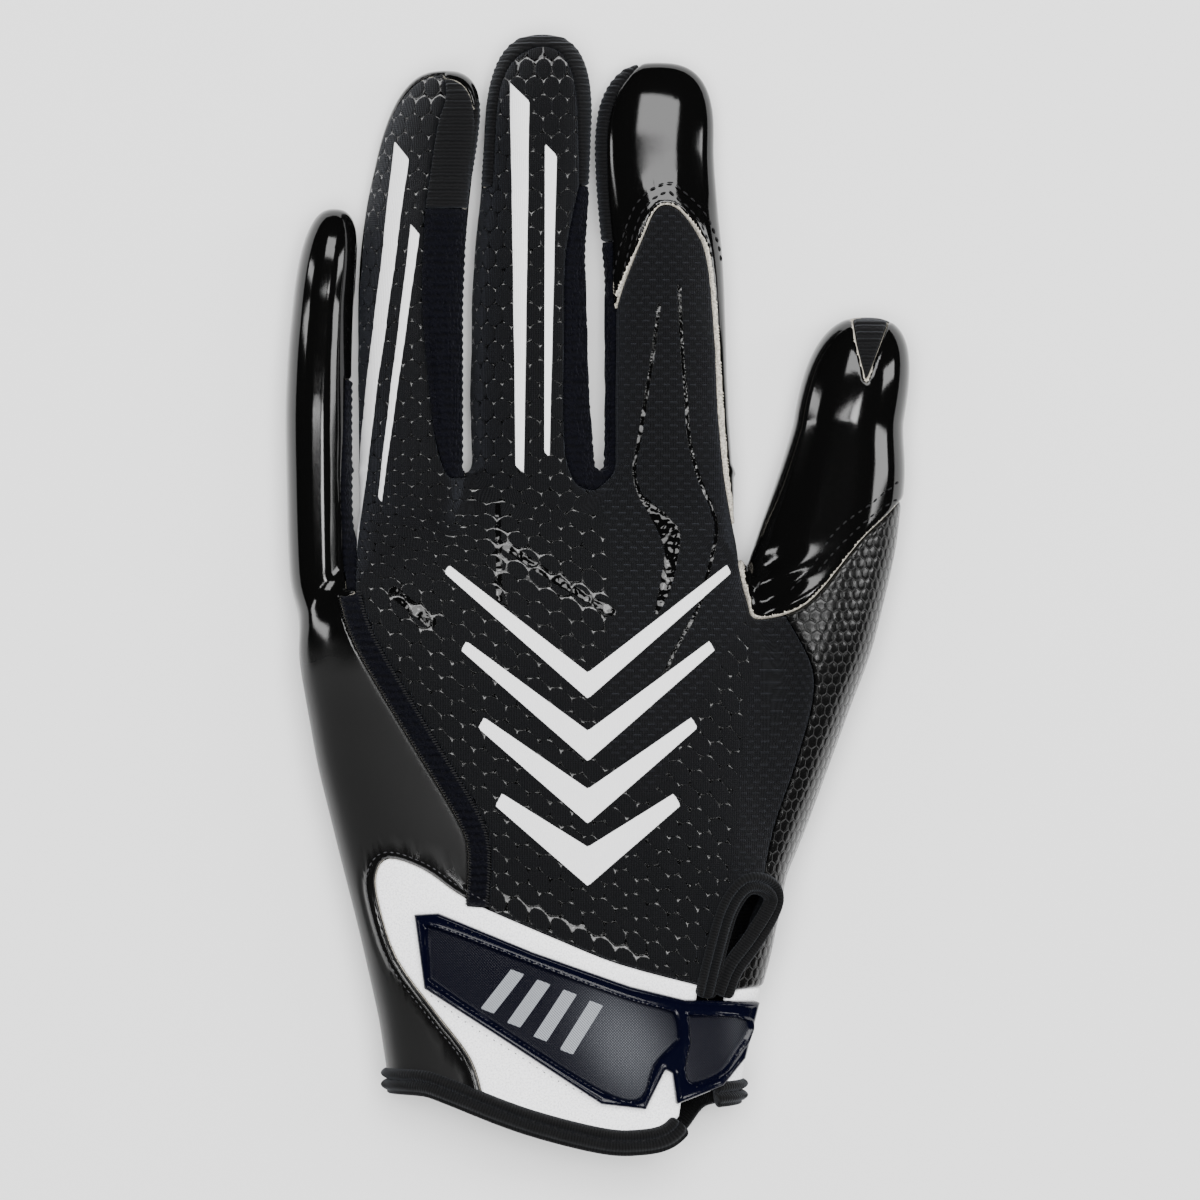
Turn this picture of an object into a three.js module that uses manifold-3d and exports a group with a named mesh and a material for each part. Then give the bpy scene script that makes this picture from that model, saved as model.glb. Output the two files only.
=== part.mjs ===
// Football receiver glove for the left hand, lying palm down with its fingers to +Y, its thumb to +X and the
// back of the hand to +Z. Lengths are in millimetres and angles in degrees.
import * as THREE from 'three';
import { mergeVertices } from 'three/addons/utils/BufferGeometryUtils.js';
import Module from 'manifold-3d';

// Driving dimensions of the hand: plan width, length and height over the flattened glove
const pinkyWidth = 14.4;
const pinkyLength = 81.7;
const pinkyHeight = 17;
const ringWidth = 23.2;
const ringLength = 88.2;
const ringHeight = 20.5;
const middleWidth = 27;
const middleLength = 96.1;
const middleHeight = 17.5;
const indexWidth = 28;
const indexLength = 90.3;
const indexHeight = 15.5;
const thumbWidth = 21.5;
const thumbLength = 55.9;
const thumbHeight = 17.5;
const palmLength = 144;
const palmHeight = 27;
const cuffWidth = 77;
const cuffHeight = 25;
const fingerGap = 1.1;

// Driving dimensions of the pieces
const wall = 1.7;
const seamGap = 0.3;
const bindingBulge = 0.8;
const cuffBindingWidth = 5;
const slitBindingWidth = 3.8;
const slitWidth = 6;
const seamTapeWidth = 4.6;
const seamTapeBulge = 0.4;
const strapThickness = 2.2;
const flattening = 0.7;
const sideSeamDrop = 1;
const baseSeamDrop = 3;
const fourchetteDrop = 4;

// How each finger is turned about its own length: the side towards the thumb is lifted
const leans = { pinky: 0, ring: 31, middle: 16, index: 0, thumb: 0 };

// Facets and roundness of the sections
const handForm = { sides: 24, roundness: 2.5 };
const digitForm = { sides: 14, roundness: 2.2 };
const domeForm = { steps: 5, turn: 84, roundness: 2.7 };

const black = 0x141414;
const charcoal = 0x2a2c33;
const navy = 0x14162c;
const white = 0xe9e9e6;

const wasm = await Module();
wasm.setup();

// Where the outer side of the palm and the roots of the outer digits lie, in shares of the sizes above
const shares = { handLeft: -0.691, pinkyRoot: 0.839, thumbRoot: 0.854, thumbAside: 0.11, handSeam: 1 / 3 };
const limits = { weld: 1e-5, mitre: 0.5 };

// Plan of the palm. Its width is what the fingers side by side take up, and narrows to the cuff.
const handWidth = pinkyWidth + ringWidth + middleWidth + indexWidth + 3 * fingerGap;
const cuffEnds = 0.25;
const palmStarts = 0.75;

function palmScale(along) {
  const share = THREE.MathUtils.clamp((along - cuffEnds) / (palmStarts - cuffEnds), 0, 1);
  return THREE.MathUtils.lerp(cuffWidth, handWidth, share);
}

function palm(across, along) {
  return new THREE.Vector2(across * palmScale(along), along * palmLength);
}

// Plan of a digit: across in shares of its width from its middle, along in lengths from its root
function digitPlan(middle, root, width, length) {
  return (across, along) => new THREE.Vector2(middle + across * width, root + along * length);
}

const handLeft = shares.handLeft * handWidth;
const ringLeft = handLeft + pinkyWidth + fingerGap;
const middleLeft = ringLeft + ringWidth + fingerGap;
const indexLeft = middleLeft + middleWidth + fingerGap;
const pinkyRoot = shares.pinkyRoot * palmLength;
const pinky = digitPlan(handLeft + pinkyWidth / 2, pinkyRoot, pinkyWidth, pinkyLength);
const ring = digitPlan(ringLeft + ringWidth / 2, palmLength, ringWidth, ringLength);
const middle = digitPlan(middleLeft + middleWidth / 2, palmLength, middleWidth, middleLength);
const index = digitPlan(indexLeft + indexWidth / 2, palmLength, indexWidth, indexLength);
const thumbLeft = indexLeft + indexWidth + shares.thumbAside * thumbWidth;
const thumb = digitPlan(thumbLeft, shares.thumbRoot * palmLength, thumbWidth, thumbLength);

// Sections of the hand from the cuff to the finger roots. left and right are shares of the palm's width
// there, height is a share of the palm's or, at the cuff, the cuff's height, and forward tells how much of
// the wall's thickness lies along the hand.
const handSections = [
  { along: -0.06, left: -0.55, right: 0.39, height: 1.0, forward: 0 },
  { along: 0.105, left: -0.575, right: 0.413, height: 0.97, forward: 0 },
  { along: 0.194, left: -0.6, right: 0.441, height: 0.97, forward: 0 },
  { along: 0.284, left: -0.626, right: 0.483, height: 1.0, forward: 0 },
  { along: 0.373, left: -0.64, right: 0.497, height: 0.98, forward: 0 },
  { along: 0.478, left: -0.655, right: 0.492, height: 1.0, forward: 0 },
  { along: 0.582, left: -0.667, right: 0.487, height: 1.0, forward: 0 },
  { along: 0.672, left: -0.668, right: 0.476, height: 1.0, forward: 0 },
  { along: 0.747, left: -0.666, right: 0.44, height: 0.96, forward: 0 },
  { along: 0.815, left: -0.655, right: 0.365, height: 0.89, forward: 0.5 },
  { along: 0.86, left: -0.55, right: 0.335, height: 0.81, forward: 0.5 },
  { along: 0.94, left: -0.525, right: 0.315, height: 0.67, forward: 0.5 },
  { along: 1.01, left: -0.51, right: 0.3, height: 0.42, forward: 1 },
];

// Sections of each digit up to where its rounded tip begins, in shares of its own width, length and height
const pinkySections = [
  { along: -0.35, aside: 0.5, width: 0.4, height: 0.6 },
  { along: -0.01, aside: 0.01, width: 0.93, height: 1.0 },
  { along: 0.15, aside: -0.01, width: 0.96, height: 1.0 },
  { along: 0.47, aside: -0.03, width: 0.99, height: 1.0 },
  { along: 0.63, aside: 0.0, width: 0.96, height: 0.97 },
  { along: 0.76, aside: 0.04, width: 0.91, height: 0.92 },
];
const pinkyTip = { along: 1.0, aside: 0.22 };

const ringSections = [
  { along: -0.3, aside: 0.0, width: 0.6, height: 0.8 },
  { along: 0.0, aside: -0.02, width: 0.98, height: 1.0 },
  { along: 0.44, aside: -0.02, width: 0.98, height: 0.98 },
  { along: 0.56, aside: 0.0, width: 0.98, height: 0.96 },
  { along: 0.68, aside: 0.05, width: 0.96, height: 0.92 },
  { along: 0.77, aside: 0.11, width: 0.92, height: 0.87 },
];
const ringTip = { along: 1.0, aside: 0.29 };

const middleSections = [
  { along: -0.25, aside: 0.0, width: 0.6, height: 0.9 },
  { along: 0.0, aside: 0.0, width: 0.98, height: 1.0 },
  { along: 0.18, aside: -0.04, width: 0.95, height: 0.98 },
  { along: 0.51, aside: -0.04, width: 0.88, height: 0.95 },
  { along: 0.63, aside: 0.0, width: 0.86, height: 0.92 },
  { along: 0.78, aside: 0.03, width: 0.85, height: 0.88 },
];
const middleTip = { along: 1.0, aside: 0.06 };

const indexSections = [
  { along: -0.25, aside: -0.05, width: 0.6, height: 1.0 },
  { along: 0.0, aside: 0.01, width: 0.98, height: 1.0 },
  { along: 0.12, aside: 0.0, width: 0.94, height: 1.0 },
  { along: 0.5, aside: -0.02, width: 0.9, height: 0.95 },
  { along: 0.6, aside: -0.05, width: 0.92, height: 0.93 },
  { along: 0.79, aside: -0.1, width: 0.92, height: 0.9 },
];
const indexTip = { along: 1.0, aside: -0.06 };

const thumbSections = [
  { along: -1.4, aside: 0.0, width: 0.3, height: 0.6 },
  { along: -0.97, aside: 0.25, width: 0.76, height: 1.1 },
  { along: -0.51, aside: 0.52, width: 1.1, height: 1.22 },
  { along: -0.28, aside: 0.66, width: 1.27, height: 1.22 },
  { along: -0.05, aside: 0.73, width: 1.42, height: 1.16 },
  { along: 0.13, aside: 0.84, width: 1.42, height: 1.08 },
  { along: 0.4, aside: 1.0, width: 1.25, height: 1.0 },
  { along: 0.6, aside: 1.06, width: 1.05, height: 0.95 },
];
const thumbTip = { along: 1.0, aside: 1.25 };

function signedPower(value, power) {
  return Math.sign(value) * Math.abs(value) ** power;
}

// One closed section across the length: an oval pressed flat where it rests, its right side lifted by lean
function sectionPoints(section, growth, sides, roundness, lean) {
  const power = 2 / roundness;
  const halfWidth = section.width / 2 + growth * section.spread;
  const halfHeight = section.height / 2 + growth * section.spread;
  const points = [];
  for (let side = 0; side < sides; side += 1) {
    const turn = (2 * Math.PI * side) / sides;
    points.push(new THREE.Vector3(
      section.x + halfWidth * signedPower(Math.cos(turn), power),
      section.y + growth * section.forward,
      section.z + halfHeight * signedPower(Math.sin(turn + lean), power),
    ));
  }
  return points;
}

// A closed skin through sections whose first and last points close at a middle point
function loft(sections, growth, sides, roundness, lean) {
  const rings = sections.map((section) => sectionPoints(section, growth, sides, roundness, lean));
  const points = rings.flat();
  const faces = [];
  for (let row = 0; row + 1 < rings.length; row += 1) {
    for (let side = 0; side < sides; side += 1) {
      const next = (side + 1) % sides;
      const a = row * sides + side;
      const b = row * sides + next;
      faces.push(a, b + sides, b, a, a + sides, b + sides);
    }
  }
  [0, rings.length - 1].forEach((row) => {
    const centre = rings[row].reduce((sum, point) => sum.add(point), new THREE.Vector3());
    points.push(centre.divideScalar(sides));
    for (let side = 0; side < sides; side += 1) {
      const a = row * sides + side;
      const b = row * sides + ((side + 1) % sides);
      faces.push(...(row === 0 ? [points.length - 1, a, b] : [points.length - 1, b, a]));
    }
  });
  const geometry = new THREE.BufferGeometry().setFromPoints(points);
  geometry.setIndex(faces);
  return solid(geometry);
}

// A closed three.js geometry as a solid that can be cut and joined
function solid(geometry) {
  const shape = geometry.clone();
  shape.deleteAttribute('normal');
  shape.deleteAttribute('uv');
  const merged = mergeVertices(shape, limits.weld);
  return new wasm.Manifold(new wasm.Mesh({
    numProp: 3,
    vertProperties: new Float32Array(merged.attributes.position.array),
    triVerts: new Uint32Array(merged.index.array),
  }));
}

function handRows() {
  return handSections.map((row) => {
    const cuffShare = THREE.MathUtils.clamp((palmStarts - row.along) / (palmStarts - cuffEnds), 0, 1);
    const height = row.height * THREE.MathUtils.lerp(palmHeight, cuffHeight, cuffShare);
    const left = palm(row.left, row.along);
    const right = palm(row.right, row.along);
    return {
      x: (left.x + right.x) / 2,
      y: left.y,
      z: (height - flattening) / 2,
      width: right.x - left.x,
      height: height + flattening,
      spread: 1,
      forward: row.forward,
    };
  });
}

// The trunk's sections, then a dome whose sections shrink round a quarter turn to the tip
function digitRows({ plan, width, height, sections, tip }) {
  const rows = sections.map((row) => {
    const place = plan(row.aside, row.along);
    return {
      x: place.x,
      y: place.y,
      z: (row.height * height - flattening) / 2,
      width: row.width * width,
      height: row.height * height + flattening,
      spread: 1,
      forward: 0,
    };
  });
  const start = rows[rows.length - 1];
  const end = plan(tip.aside, tip.along);
  const fullReach = Math.sin(THREE.MathUtils.degToRad(domeForm.turn));
  for (let step = 1; step <= domeForm.steps; step += 1) {
    const reach = Math.sin(THREE.MathUtils.degToRad((domeForm.turn * step) / domeForm.steps));
    const shrink = (1 - reach ** domeForm.roundness) ** (1 / domeForm.roundness);
    rows.push({
      x: THREE.MathUtils.lerp(start.x, end.x, reach / fullReach),
      y: THREE.MathUtils.lerp(start.y, end.y, reach / fullReach),
      z: start.z,
      width: start.width * shrink,
      height: start.height * shrink,
      spread: shrink,
      forward: reach,
    });
  }
  return rows;
}

const digits = {
  pinky: {
    plan: pinky,
    width: pinkyWidth,
    height: pinkyHeight,
    lean: leans.pinky,
    sections: pinkySections,
    tip: pinkyTip,
  },
  ring: {
    plan: ring,
    width: ringWidth,
    height: ringHeight,
    lean: leans.ring,
    sections: ringSections,
    tip: ringTip,
  },
  middle: {
    plan: middle,
    width: middleWidth,
    height: middleHeight,
    lean: leans.middle,
    sections: middleSections,
    tip: middleTip,
  },
  index: {
    plan: index,
    width: indexWidth,
    height: indexHeight,
    lean: leans.index,
    sections: indexSections,
    tip: indexTip,
  },
  thumb: {
    plan: thumb,
    width: thumbWidth,
    height: thumbHeight,
    lean: leans.thumb,
    sections: thumbSections,
    tip: thumbTip,
  },
};

// Everything within the plan outline between two heights
const far = 2 * palmLength;

function prism(outline, low = -far, high = far) {
  const geometry = new THREE.ExtrudeGeometry(new THREE.Shape(outline), {
    depth: high - low,
    bevelEnabled: false,
  });
  geometry.translate(0, 0, low);
  return solid(geometry);
}

function box(left, right, near, far, low, high) {
  const geometry = new THREE.BoxGeometry(right - left, far - near, high - low);
  geometry.translate((left + right) / 2, (near + far) / 2, (low + high) / 2);
  return solid(geometry);
}

// The whole hand's form grown by an offset, pressed flat at the surface it rests on
function hand(growth) {
  const skins = Object.values(digits).map((digit) => {
    const lean = THREE.MathUtils.degToRad(digit.lean);
    return loft(digitRows(digit), growth, digitForm.sides, digitForm.roundness, lean);
  });
  skins.push(loft(handRows(), growth, handForm.sides, handForm.roundness, 0));
  const whole = skins.reduce((sum, skin) => sum.add(skin));
  const floor = Math.max(-growth, 0);
  return whole.intersect(box(-far, far, -far, far, floor, far));
}

// The outline moved outwards by a distance at every corner
function grown(outline, distance) {
  const turned = THREE.ShapeUtils.isClockWise(outline) ? -1 : 1;
  return outline.map((point, at) => {
    const before = outline[(at + outline.length - 1) % outline.length];
    const after = outline[(at + 1) % outline.length];
    const first = point.clone().sub(before).normalize();
    const second = after.clone().sub(point).normalize();
    const along = first.clone().add(second).normalize();
    const stretch = distance / Math.max(along.dot(first), limits.mitre);
    return new THREE.Vector2(point.x + turned * along.y * stretch, point.y - turned * along.x * stretch);
  });
}

// An open line moved to its left by a distance
function beside(line, distance) {
  return line.map((point, at) => {
    const before = line[Math.max(at - 1, 0)];
    const after = line[Math.min(at + 1, line.length - 1)];
    const along = after.clone().sub(before).normalize();
    return new THREE.Vector2(point.x - along.y * distance, point.y + along.x * distance);
  });
}

// The outline of a strip along a line
function strip(line, width) {
  return [...beside(line, width / 2), ...beside(line, -width / 2).reverse()];
}

function smooth(points, steps) {
  return new THREE.SplineCurve(points).getPoints(steps);
}

// Seam lines in plan, each shared by the pieces on both of its sides
const ulnarSeam = smooth([
  palm(-0.546, 0.83), palm(-0.511, 0.761), palm(-0.41, 0.623), palm(-0.313, 0.505), palm(-0.29, 0.448),
  palm(-0.307, 0.366),
], 10);
const hemSeam = smooth([
  palm(-0.31, 0.084), palm(-0.346, 0.142), palm(-0.441, 0.208), palm(-0.54, 0.287), palm(-0.568, 0.366),
  palm(-0.564, 0.412), palm(-0.524, 0.437), palm(-0.438, 0.421), palm(-0.358, 0.387), palm(-0.283, 0.363),
], 13);
const bandSeam = smooth([
  palm(-0.283, 0.363), palm(-0.092, 0.317), palm(0.072, 0.281), palm(0.32, 0.245),
], 8);
const bandSideSeam = [palm(0.37, 0.24), palm(0.53, 0.246)];
const sideSeam = smooth([
  thumb(0.412, -0.146), palm(0.488, 0.729), palm(0.506, 0.672), palm(0.487, 0.582), palm(0.453, 0.482),
  palm(0.44, 0.39),
], 10);
const thumbSeam = smooth([
  thumb(-0.02, 0.04), thumb(0.05, -0.08), thumb(0.12, -0.15), thumb(0.41, -0.14), thumb(0.72, -0.07),
  thumb(1.17, 0.14), thumb(1.47, 0.25), thumb(1.85, 0.4),
], 14);
const besideIndex = (along) => index(-0.47, along).add(new THREE.Vector2(wall, 0));
const indexCapSeam = smooth([
  besideIndex(0.4), index(-0.35, 0.46), index(-0.18, 0.58), index(-0.09, 0.64), index(0.0, 0.655),
  index(0.11, 0.64), index(0.24, 0.59), index(0.31, 0.54), index(0.36, 0.43), index(0.4, 0.25),
  index(0.43, 0.1), index(0.47, -0.02), index(0.55, -0.15), thumb(-0.02, 0.04),
], 16);
const indexSeam = smooth([
  index(-0.54, -0.02), index(-0.42, 0.02), besideIndex(0.08), besideIndex(0.24), besideIndex(0.4),
], 7);
const indexGussetSeam = smooth([
  index(-0.43, 0.57), index(-0.46, 0.69), index(-0.47, 0.81), index(-0.44, 0.88), index(-0.38, 0.93),
  index(-0.28, 0.975), index(-0.17, 1.01),
], 8);
const middleSeam = smooth([
  middle(0.38, 0.66), middle(0.27, 0.51), middle(0.25, 0.35), middle(0.25, 0.09), middle(0.33, 0.0),
  middle(0.45, -0.02),
], 10);
const middleGussetSeam = smooth([
  middle(-0.35, 0.66), middle(-0.33, 0.74), middle(-0.31, 0.83), middle(-0.26, 0.9), middle(-0.15, 0.95),
  middle(0.03, 0.975), middle(0.19, 0.965), middle(0.29, 0.93), middle(0.35, 0.87), middle(0.37, 0.78),
  middle(0.38, 0.66),
], 12);
const ringGussetSeam = smooth([ring(0.25, 1.05), ring(0.31, 0.94), ring(0.23, 0.86), ring(0.12, 0.66)], 6);
const ringSeam = smooth([
  ring(0.12, 0.66), ring(0.09, 0.44), ring(0.17, 0.2), ring(0.23, 0.09), ring(0.35, 0.01), ring(0.5, 0.01),
], 10);
const pinkySeam = [pinky(0.4, 0.0), pinky(0.36, 0.25), pinky(0.42, 0.55)];

// Lines down the middle of the bound edges
const cuffEdge = smooth([
  palm(-0.72, 0.105), palm(-0.5, 0.105), palm(-0.422, 0.096), palm(-0.198, 0.051), palm(0.017, 0.021),
  palm(0.128, 0.018), palm(0.218, 0.03), palm(0.296, 0.08), palm(0.422, 0.09), palm(0.56, 0.1),
], 15);
const keyholeEdge = smooth([
  palm(0.304, 0.231), palm(0.336, 0.328), palm(0.356, 0.37), palm(0.388, 0.397), palm(0.426, 0.402),
  palm(0.465, 0.391), palm(0.474, 0.365), palm(0.433, 0.314), palm(0.385, 0.272), palm(0.36, 0.231),
], 15);
const slitLine = [palm(0.329, 0.24), palm(0.25, -0.05)];

// Lines up the gaps between the fingers, to past their tips
const pinkyGap = [
  pinky(0.53, -0.01), pinky(0.53, 0.76), ring(-0.504, 0.561), ring(-0.467, 0.645), ring(-0.467, 1.04),
];
const ringGap = [
  ring(0.5, -0.06), ring(0.5, 0.44), ring(0.54, 0.56), ring(0.6, 0.77), ring(0.65, 0.88), ring(0.65, 1.3),
];
const middleGap = [
  middle(0.52, -0.06), middle(0.51, 0.4), middle(0.495, 0.54), index(-0.563, 0.692), index(-0.566, 0.809),
  index(-0.544, 0.905), index(-0.482, 1.277),
];

// The stretch of a line that runs up the hand between two heights on the plan, with its cut ends
function stretch(line, low, high) {
  const cutAt = (level) => {
    const next = line.findIndex((point) => point.y >= level);
    const before = line[next - 1];
    return before.clone().lerp(line[next], (level - before.y) / (line[next].y - before.y));
  };
  return [cutAt(low), ...line.filter((point) => point.y > low && point.y < high), cutAt(high)];
}

// Where the ribbed gussets round the fingertips are joined to the fourchettes
const ringJoin = ring(0, 0.66).y;
const middleJoin = middle(0, 0.66).y;
const indexJoin = index(0, 0.57).y;
const tipsEnd = middle(0, 1.1).y;

// The moulded strap across the back of the wrist, with its tab at the thumb side
const strapOutline = [
  palm(-0.47, 0.355), palm(-0.466, 0.246), palm(0.02, 0.074), palm(0.142, 0.066), palm(0.195, 0.125),
  palm(0.215, 0.119), palm(0.226, 0.073), palm(0.349, 0.099), palm(0.405, 0.14), palm(0.444, 0.225),
  palm(0.249, 0.229), palm(0.101, 0.249), palm(-0.166, 0.3), palm(-0.408, 0.357),
];

// The space above the seams along the glove's sides, lowered by drop. On a finger they run along its widest
// line, which is higher on the side towards the thumb where the finger leans. On the hand they run lower.
const fingerZones = [
  { name: 'pinky', digit: digits.pinky, outline: [...pinkyGap, palm(-1, 2.4), palm(-1, 0.84)] },
  { name: 'ring', digit: digits.ring, outline: [...pinkyGap, ...ringGap.slice().reverse()] },
  { name: 'middle', digit: digits.middle, outline: [...ringGap, ...middleGap.slice().reverse()] },
  { name: 'index', digit: digits.index, outline: [...middleGap, thumb(0, 3), thumb(-0.03, 0.06)] },
];

function upper(drop) {
  const zones = fingerZones.map(({ outline }) => prism(outline));
  const leaning = fingerZones.map(({ digit }, at) => {
    const lift = Math.sin(THREE.MathUtils.degToRad(digit.lean)) * digit.height;
    const space = new THREE.BoxGeometry(2 * far, 2 * far, far).translate(0, 0, far / 2);
    space.rotateY(-Math.atan2(lift, digit.width));
    space.translate(digit.plan(0, 0).x, 0, digit.height / 2 - drop);
    return solid(space).intersect(zones[at]);
  });
  const overHand = box(-far, far, -far, far, palmHeight * shares.handSeam - drop, far);
  const besideFingers = zones.reduce((whole, zone) => whole.subtract(zone), overHand);
  return leaning.reduce((whole, space) => whole.add(space), besideFingers);
}

function above(outline, drop = 0) {
  return prism(outline).intersect(upper(drop));
}

const keyholeOutline = beside(keyholeEdge, slitBindingWidth / 2);
const slit = above(strip(slitLine, slitWidth));

// Regions of the skin in plan. Each is cut out of what those before it leave, and the palm is the rest.
const regions = [
  { name: 'ulnar_seam_tape', outline: strip(ulnarSeam, seamTapeWidth), drop: 0 },
  {
    name: 'tip_gusset_ring',
    outline: [...ringGussetSeam, ...stretch(ringGap, ringJoin, tipsEnd)],
    drop: 0,
  },
  {
    name: 'tip_gusset_middle',
    outline: [
      ...middleGussetSeam, ...stretch(middleGap, middleJoin, tipsEnd),
      ...stretch(ringGap, middleJoin, tipsEnd).reverse(),
    ],
    drop: sideSeamDrop,
  },
  {
    name: 'tip_gusset_index',
    outline: [...indexGussetSeam, ...stretch(middleGap, indexJoin, tipsEnd).reverse()],
    drop: fourchetteDrop,
  },
  {
    name: 'fourchette_pinky_ring',
    outline: [...pinkySeam, ...stretch(pinkyGap, pinkySeam[0].y, pinkySeam[2].y).reverse()],
    drop: fourchetteDrop,
  },
  {
    name: 'fourchette_ring_middle',
    outline: [...ringSeam, ...stretch(ringGap, ringSeam[ringSeam.length - 1].y, ringJoin)],
    drop: 0,
  },
  {
    name: 'fourchette_middle_index',
    outline: [...middleSeam, ...indexSeam, indexGussetSeam[0], ...stretch(middleGap, indexJoin, middleJoin)],
    drop: fourchetteDrop,
  },
  {
    name: 'tip_gusset_thumb',
    outline: [
      thumb(1.05, 1.05), thumb(1.1, 1.0), thumb(1.14, 0.9), thumb(1.23, 0.76), thumb(1.46, 0.985),
      thumb(1.49, 1.05),
    ],
    drop: sideSeamDrop,
  },
  {
    name: 'thumb_panel',
    outline: [...thumbSeam, thumb(2.2, 0.4), thumb(2.2, 1.3), thumb(0.1, 1.3)],
    drop: far,
  },
  {
    name: 'thumb_base_panel',
    outline: [
      ...sideSeam, palm(0.4, 0.32), ...bandSideSeam, thumb(2.2, -1.9), thumb(2.2, 0.5), thumb(0.5, 0),
    ],
    drop: baseSeamDrop,
  },
  {
    name: 'cuff_band',
    outline: [...hemSeam, ...bandSeam, ...slitLine, palm(-0.31, -0.05)],
    drop: 0,
  },
  {
    name: 'cuff_band_thumb_side',
    outline: [slitLine[1], slitLine[0], ...bandSideSeam, palm(0.7, 0.246), palm(0.7, -0.05)],
    drop: far,
  },
  {
    name: 'back_panel',
    outline: [
      ...ulnarSeam.slice().reverse(), ...pinkyGap, ...ringGussetSeam, ...ringSeam,
      ...stretch(ringGap, ringSeam[ringSeam.length - 1].y, tipsEnd),
      ...stretch(middleGap, middleJoin, tipsEnd).reverse(), ...middleSeam, ...indexSeam, ...indexCapSeam,
      ...thumbSeam.slice(1, 6), ...sideSeam, ...bandSeam.slice().reverse(),
    ],
    drop: sideSeamDrop,
  },
];

const pieces = {};
let rest = hand(0).subtract(hand(-wall));
rest = rest.intersect(prism([...beside(cuffEdge, cuffBindingWidth / 2 + seamGap), palm(2, 3), palm(-2, 3)]));
rest = rest.subtract(slit).subtract(above(grown(keyholeOutline, seamGap)));
regions.forEach(({ name, outline, drop }) => {
  pieces[name] = rest.intersect(above(outline, drop));
  rest = rest.subtract(above(grown(outline, seamGap), drop + seamGap));
});
pieces.palm_panel = rest;

// The two large panels are divided at the finger roots, each into its hand part and its fingers
function divide(panel, zones) {
  zones.forEach(({ name, outline }) => {
    pieces[`${panel}_${name}`] = pieces[panel].intersect(prism(outline));
    pieces[panel] = pieces[panel].subtract(prism(grown(outline, seamGap)));
  });
}
divide('palm_panel', fingerZones);
divide('back_panel', fingerZones.slice(1));

// The tape stands a little out of the skin
const tapeSkin = hand(seamTapeBulge).subtract(hand(-wall));
pieces.ulnar_seam_tape = tapeSkin.intersect(above(strip(ulnarSeam, seamTapeWidth)));

// The bindings wrap both faces of the edges that they close
const bindingSkin = hand(bindingBulge).subtract(hand(-wall - bindingBulge));
pieces.slit_binding = bindingSkin.intersect(above(strip(keyholeEdge, slitBindingWidth)));
pieces.cuff_binding = bindingSkin.intersect(prism(strip(cuffEdge, cuffBindingWidth))).subtract(slit);

const strapSkin = hand(seamGap + strapThickness).subtract(hand(seamGap));
pieces.closure_strap = strapSkin.intersect(above(strapOutline))
  .subtract(above(grown(keyholeOutline, seamGap)))
  .subtract(prism(strip(cuffEdge, cuffBindingWidth + 2 * seamGap)));

const film = { color: black, roughness: 0.25 };
const knit = { color: charcoal, roughness: 0.8 };
const looks = {
  palm_panel: film,
  palm_panel_pinky: film,
  palm_panel_ring: film,
  palm_panel_middle: film,
  palm_panel_index: film,
  back_panel: knit,
  back_panel_ring: knit,
  back_panel_middle: knit,
  back_panel_index: knit,
  thumb_panel: { color: black, roughness: 0.2 },
  thumb_base_panel: { color: black, roughness: 0.4 },
  fourchette_pinky_ring: { color: navy, roughness: 0.9 },
  fourchette_ring_middle: { color: navy, roughness: 0.9 },
  fourchette_middle_index: { color: navy, roughness: 0.9 },
  tip_gusset_ring: { color: black, roughness: 0.85 },
  tip_gusset_middle: { color: black, roughness: 0.85 },
  tip_gusset_index: { color: black, roughness: 0.85 },
  tip_gusset_thumb: { color: black, roughness: 0.85 },
  ulnar_seam_tape: { color: navy, roughness: 0.9 },
  cuff_band: { color: white, roughness: 0.7 },
  cuff_band_thumb_side: { color: white, roughness: 0.7 },
  cuff_binding: { color: black, roughness: 0.85 },
  slit_binding: { color: black, roughness: 0.85 },
  closure_strap: { color: navy, roughness: 0.35 },
};

function mesh(name, piece) {
  const { vertProperties, triVerts } = piece.getMesh();
  const geometry = new THREE.BufferGeometry();
  geometry.setAttribute('position', new THREE.BufferAttribute(vertProperties, 3));
  geometry.setIndex(new THREE.BufferAttribute(triVerts, 1));
  geometry.computeVertexNormals();
  const item = new THREE.Mesh(geometry, new THREE.MeshStandardMaterial({ ...looks[name], metalness: 0 }));
  item.name = name;
  return item;
}

const glove = new THREE.Group();
Object.entries(pieces).forEach(([name, piece]) => glove.add(mesh(name, piece)));

// The origin lies below the middle of the whole glove, on the surface that it rests on
const bounds = new THREE.Box3().setFromObject(glove);
const centre = bounds.getCenter(new THREE.Vector3());
glove.position.set(-centre.x, -centre.y, -bounds.min.z);
export default glove;
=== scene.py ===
"""Football receiver glove, left hand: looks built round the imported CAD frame."""
import math
import random

import bpy
import numpy as np
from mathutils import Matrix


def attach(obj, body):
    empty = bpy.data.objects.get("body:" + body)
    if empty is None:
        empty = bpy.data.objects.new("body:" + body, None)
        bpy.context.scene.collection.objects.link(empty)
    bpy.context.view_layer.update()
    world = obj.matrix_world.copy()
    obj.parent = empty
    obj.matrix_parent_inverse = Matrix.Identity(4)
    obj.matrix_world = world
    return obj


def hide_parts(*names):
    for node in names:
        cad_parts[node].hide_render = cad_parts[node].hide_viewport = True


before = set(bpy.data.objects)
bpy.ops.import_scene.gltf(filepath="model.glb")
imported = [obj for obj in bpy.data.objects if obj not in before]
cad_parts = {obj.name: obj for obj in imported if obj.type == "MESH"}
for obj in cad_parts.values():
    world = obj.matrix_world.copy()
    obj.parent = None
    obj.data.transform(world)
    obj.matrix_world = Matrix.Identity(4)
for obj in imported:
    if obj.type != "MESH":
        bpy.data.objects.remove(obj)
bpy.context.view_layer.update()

import openvdb
from mathutils import Vector
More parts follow.
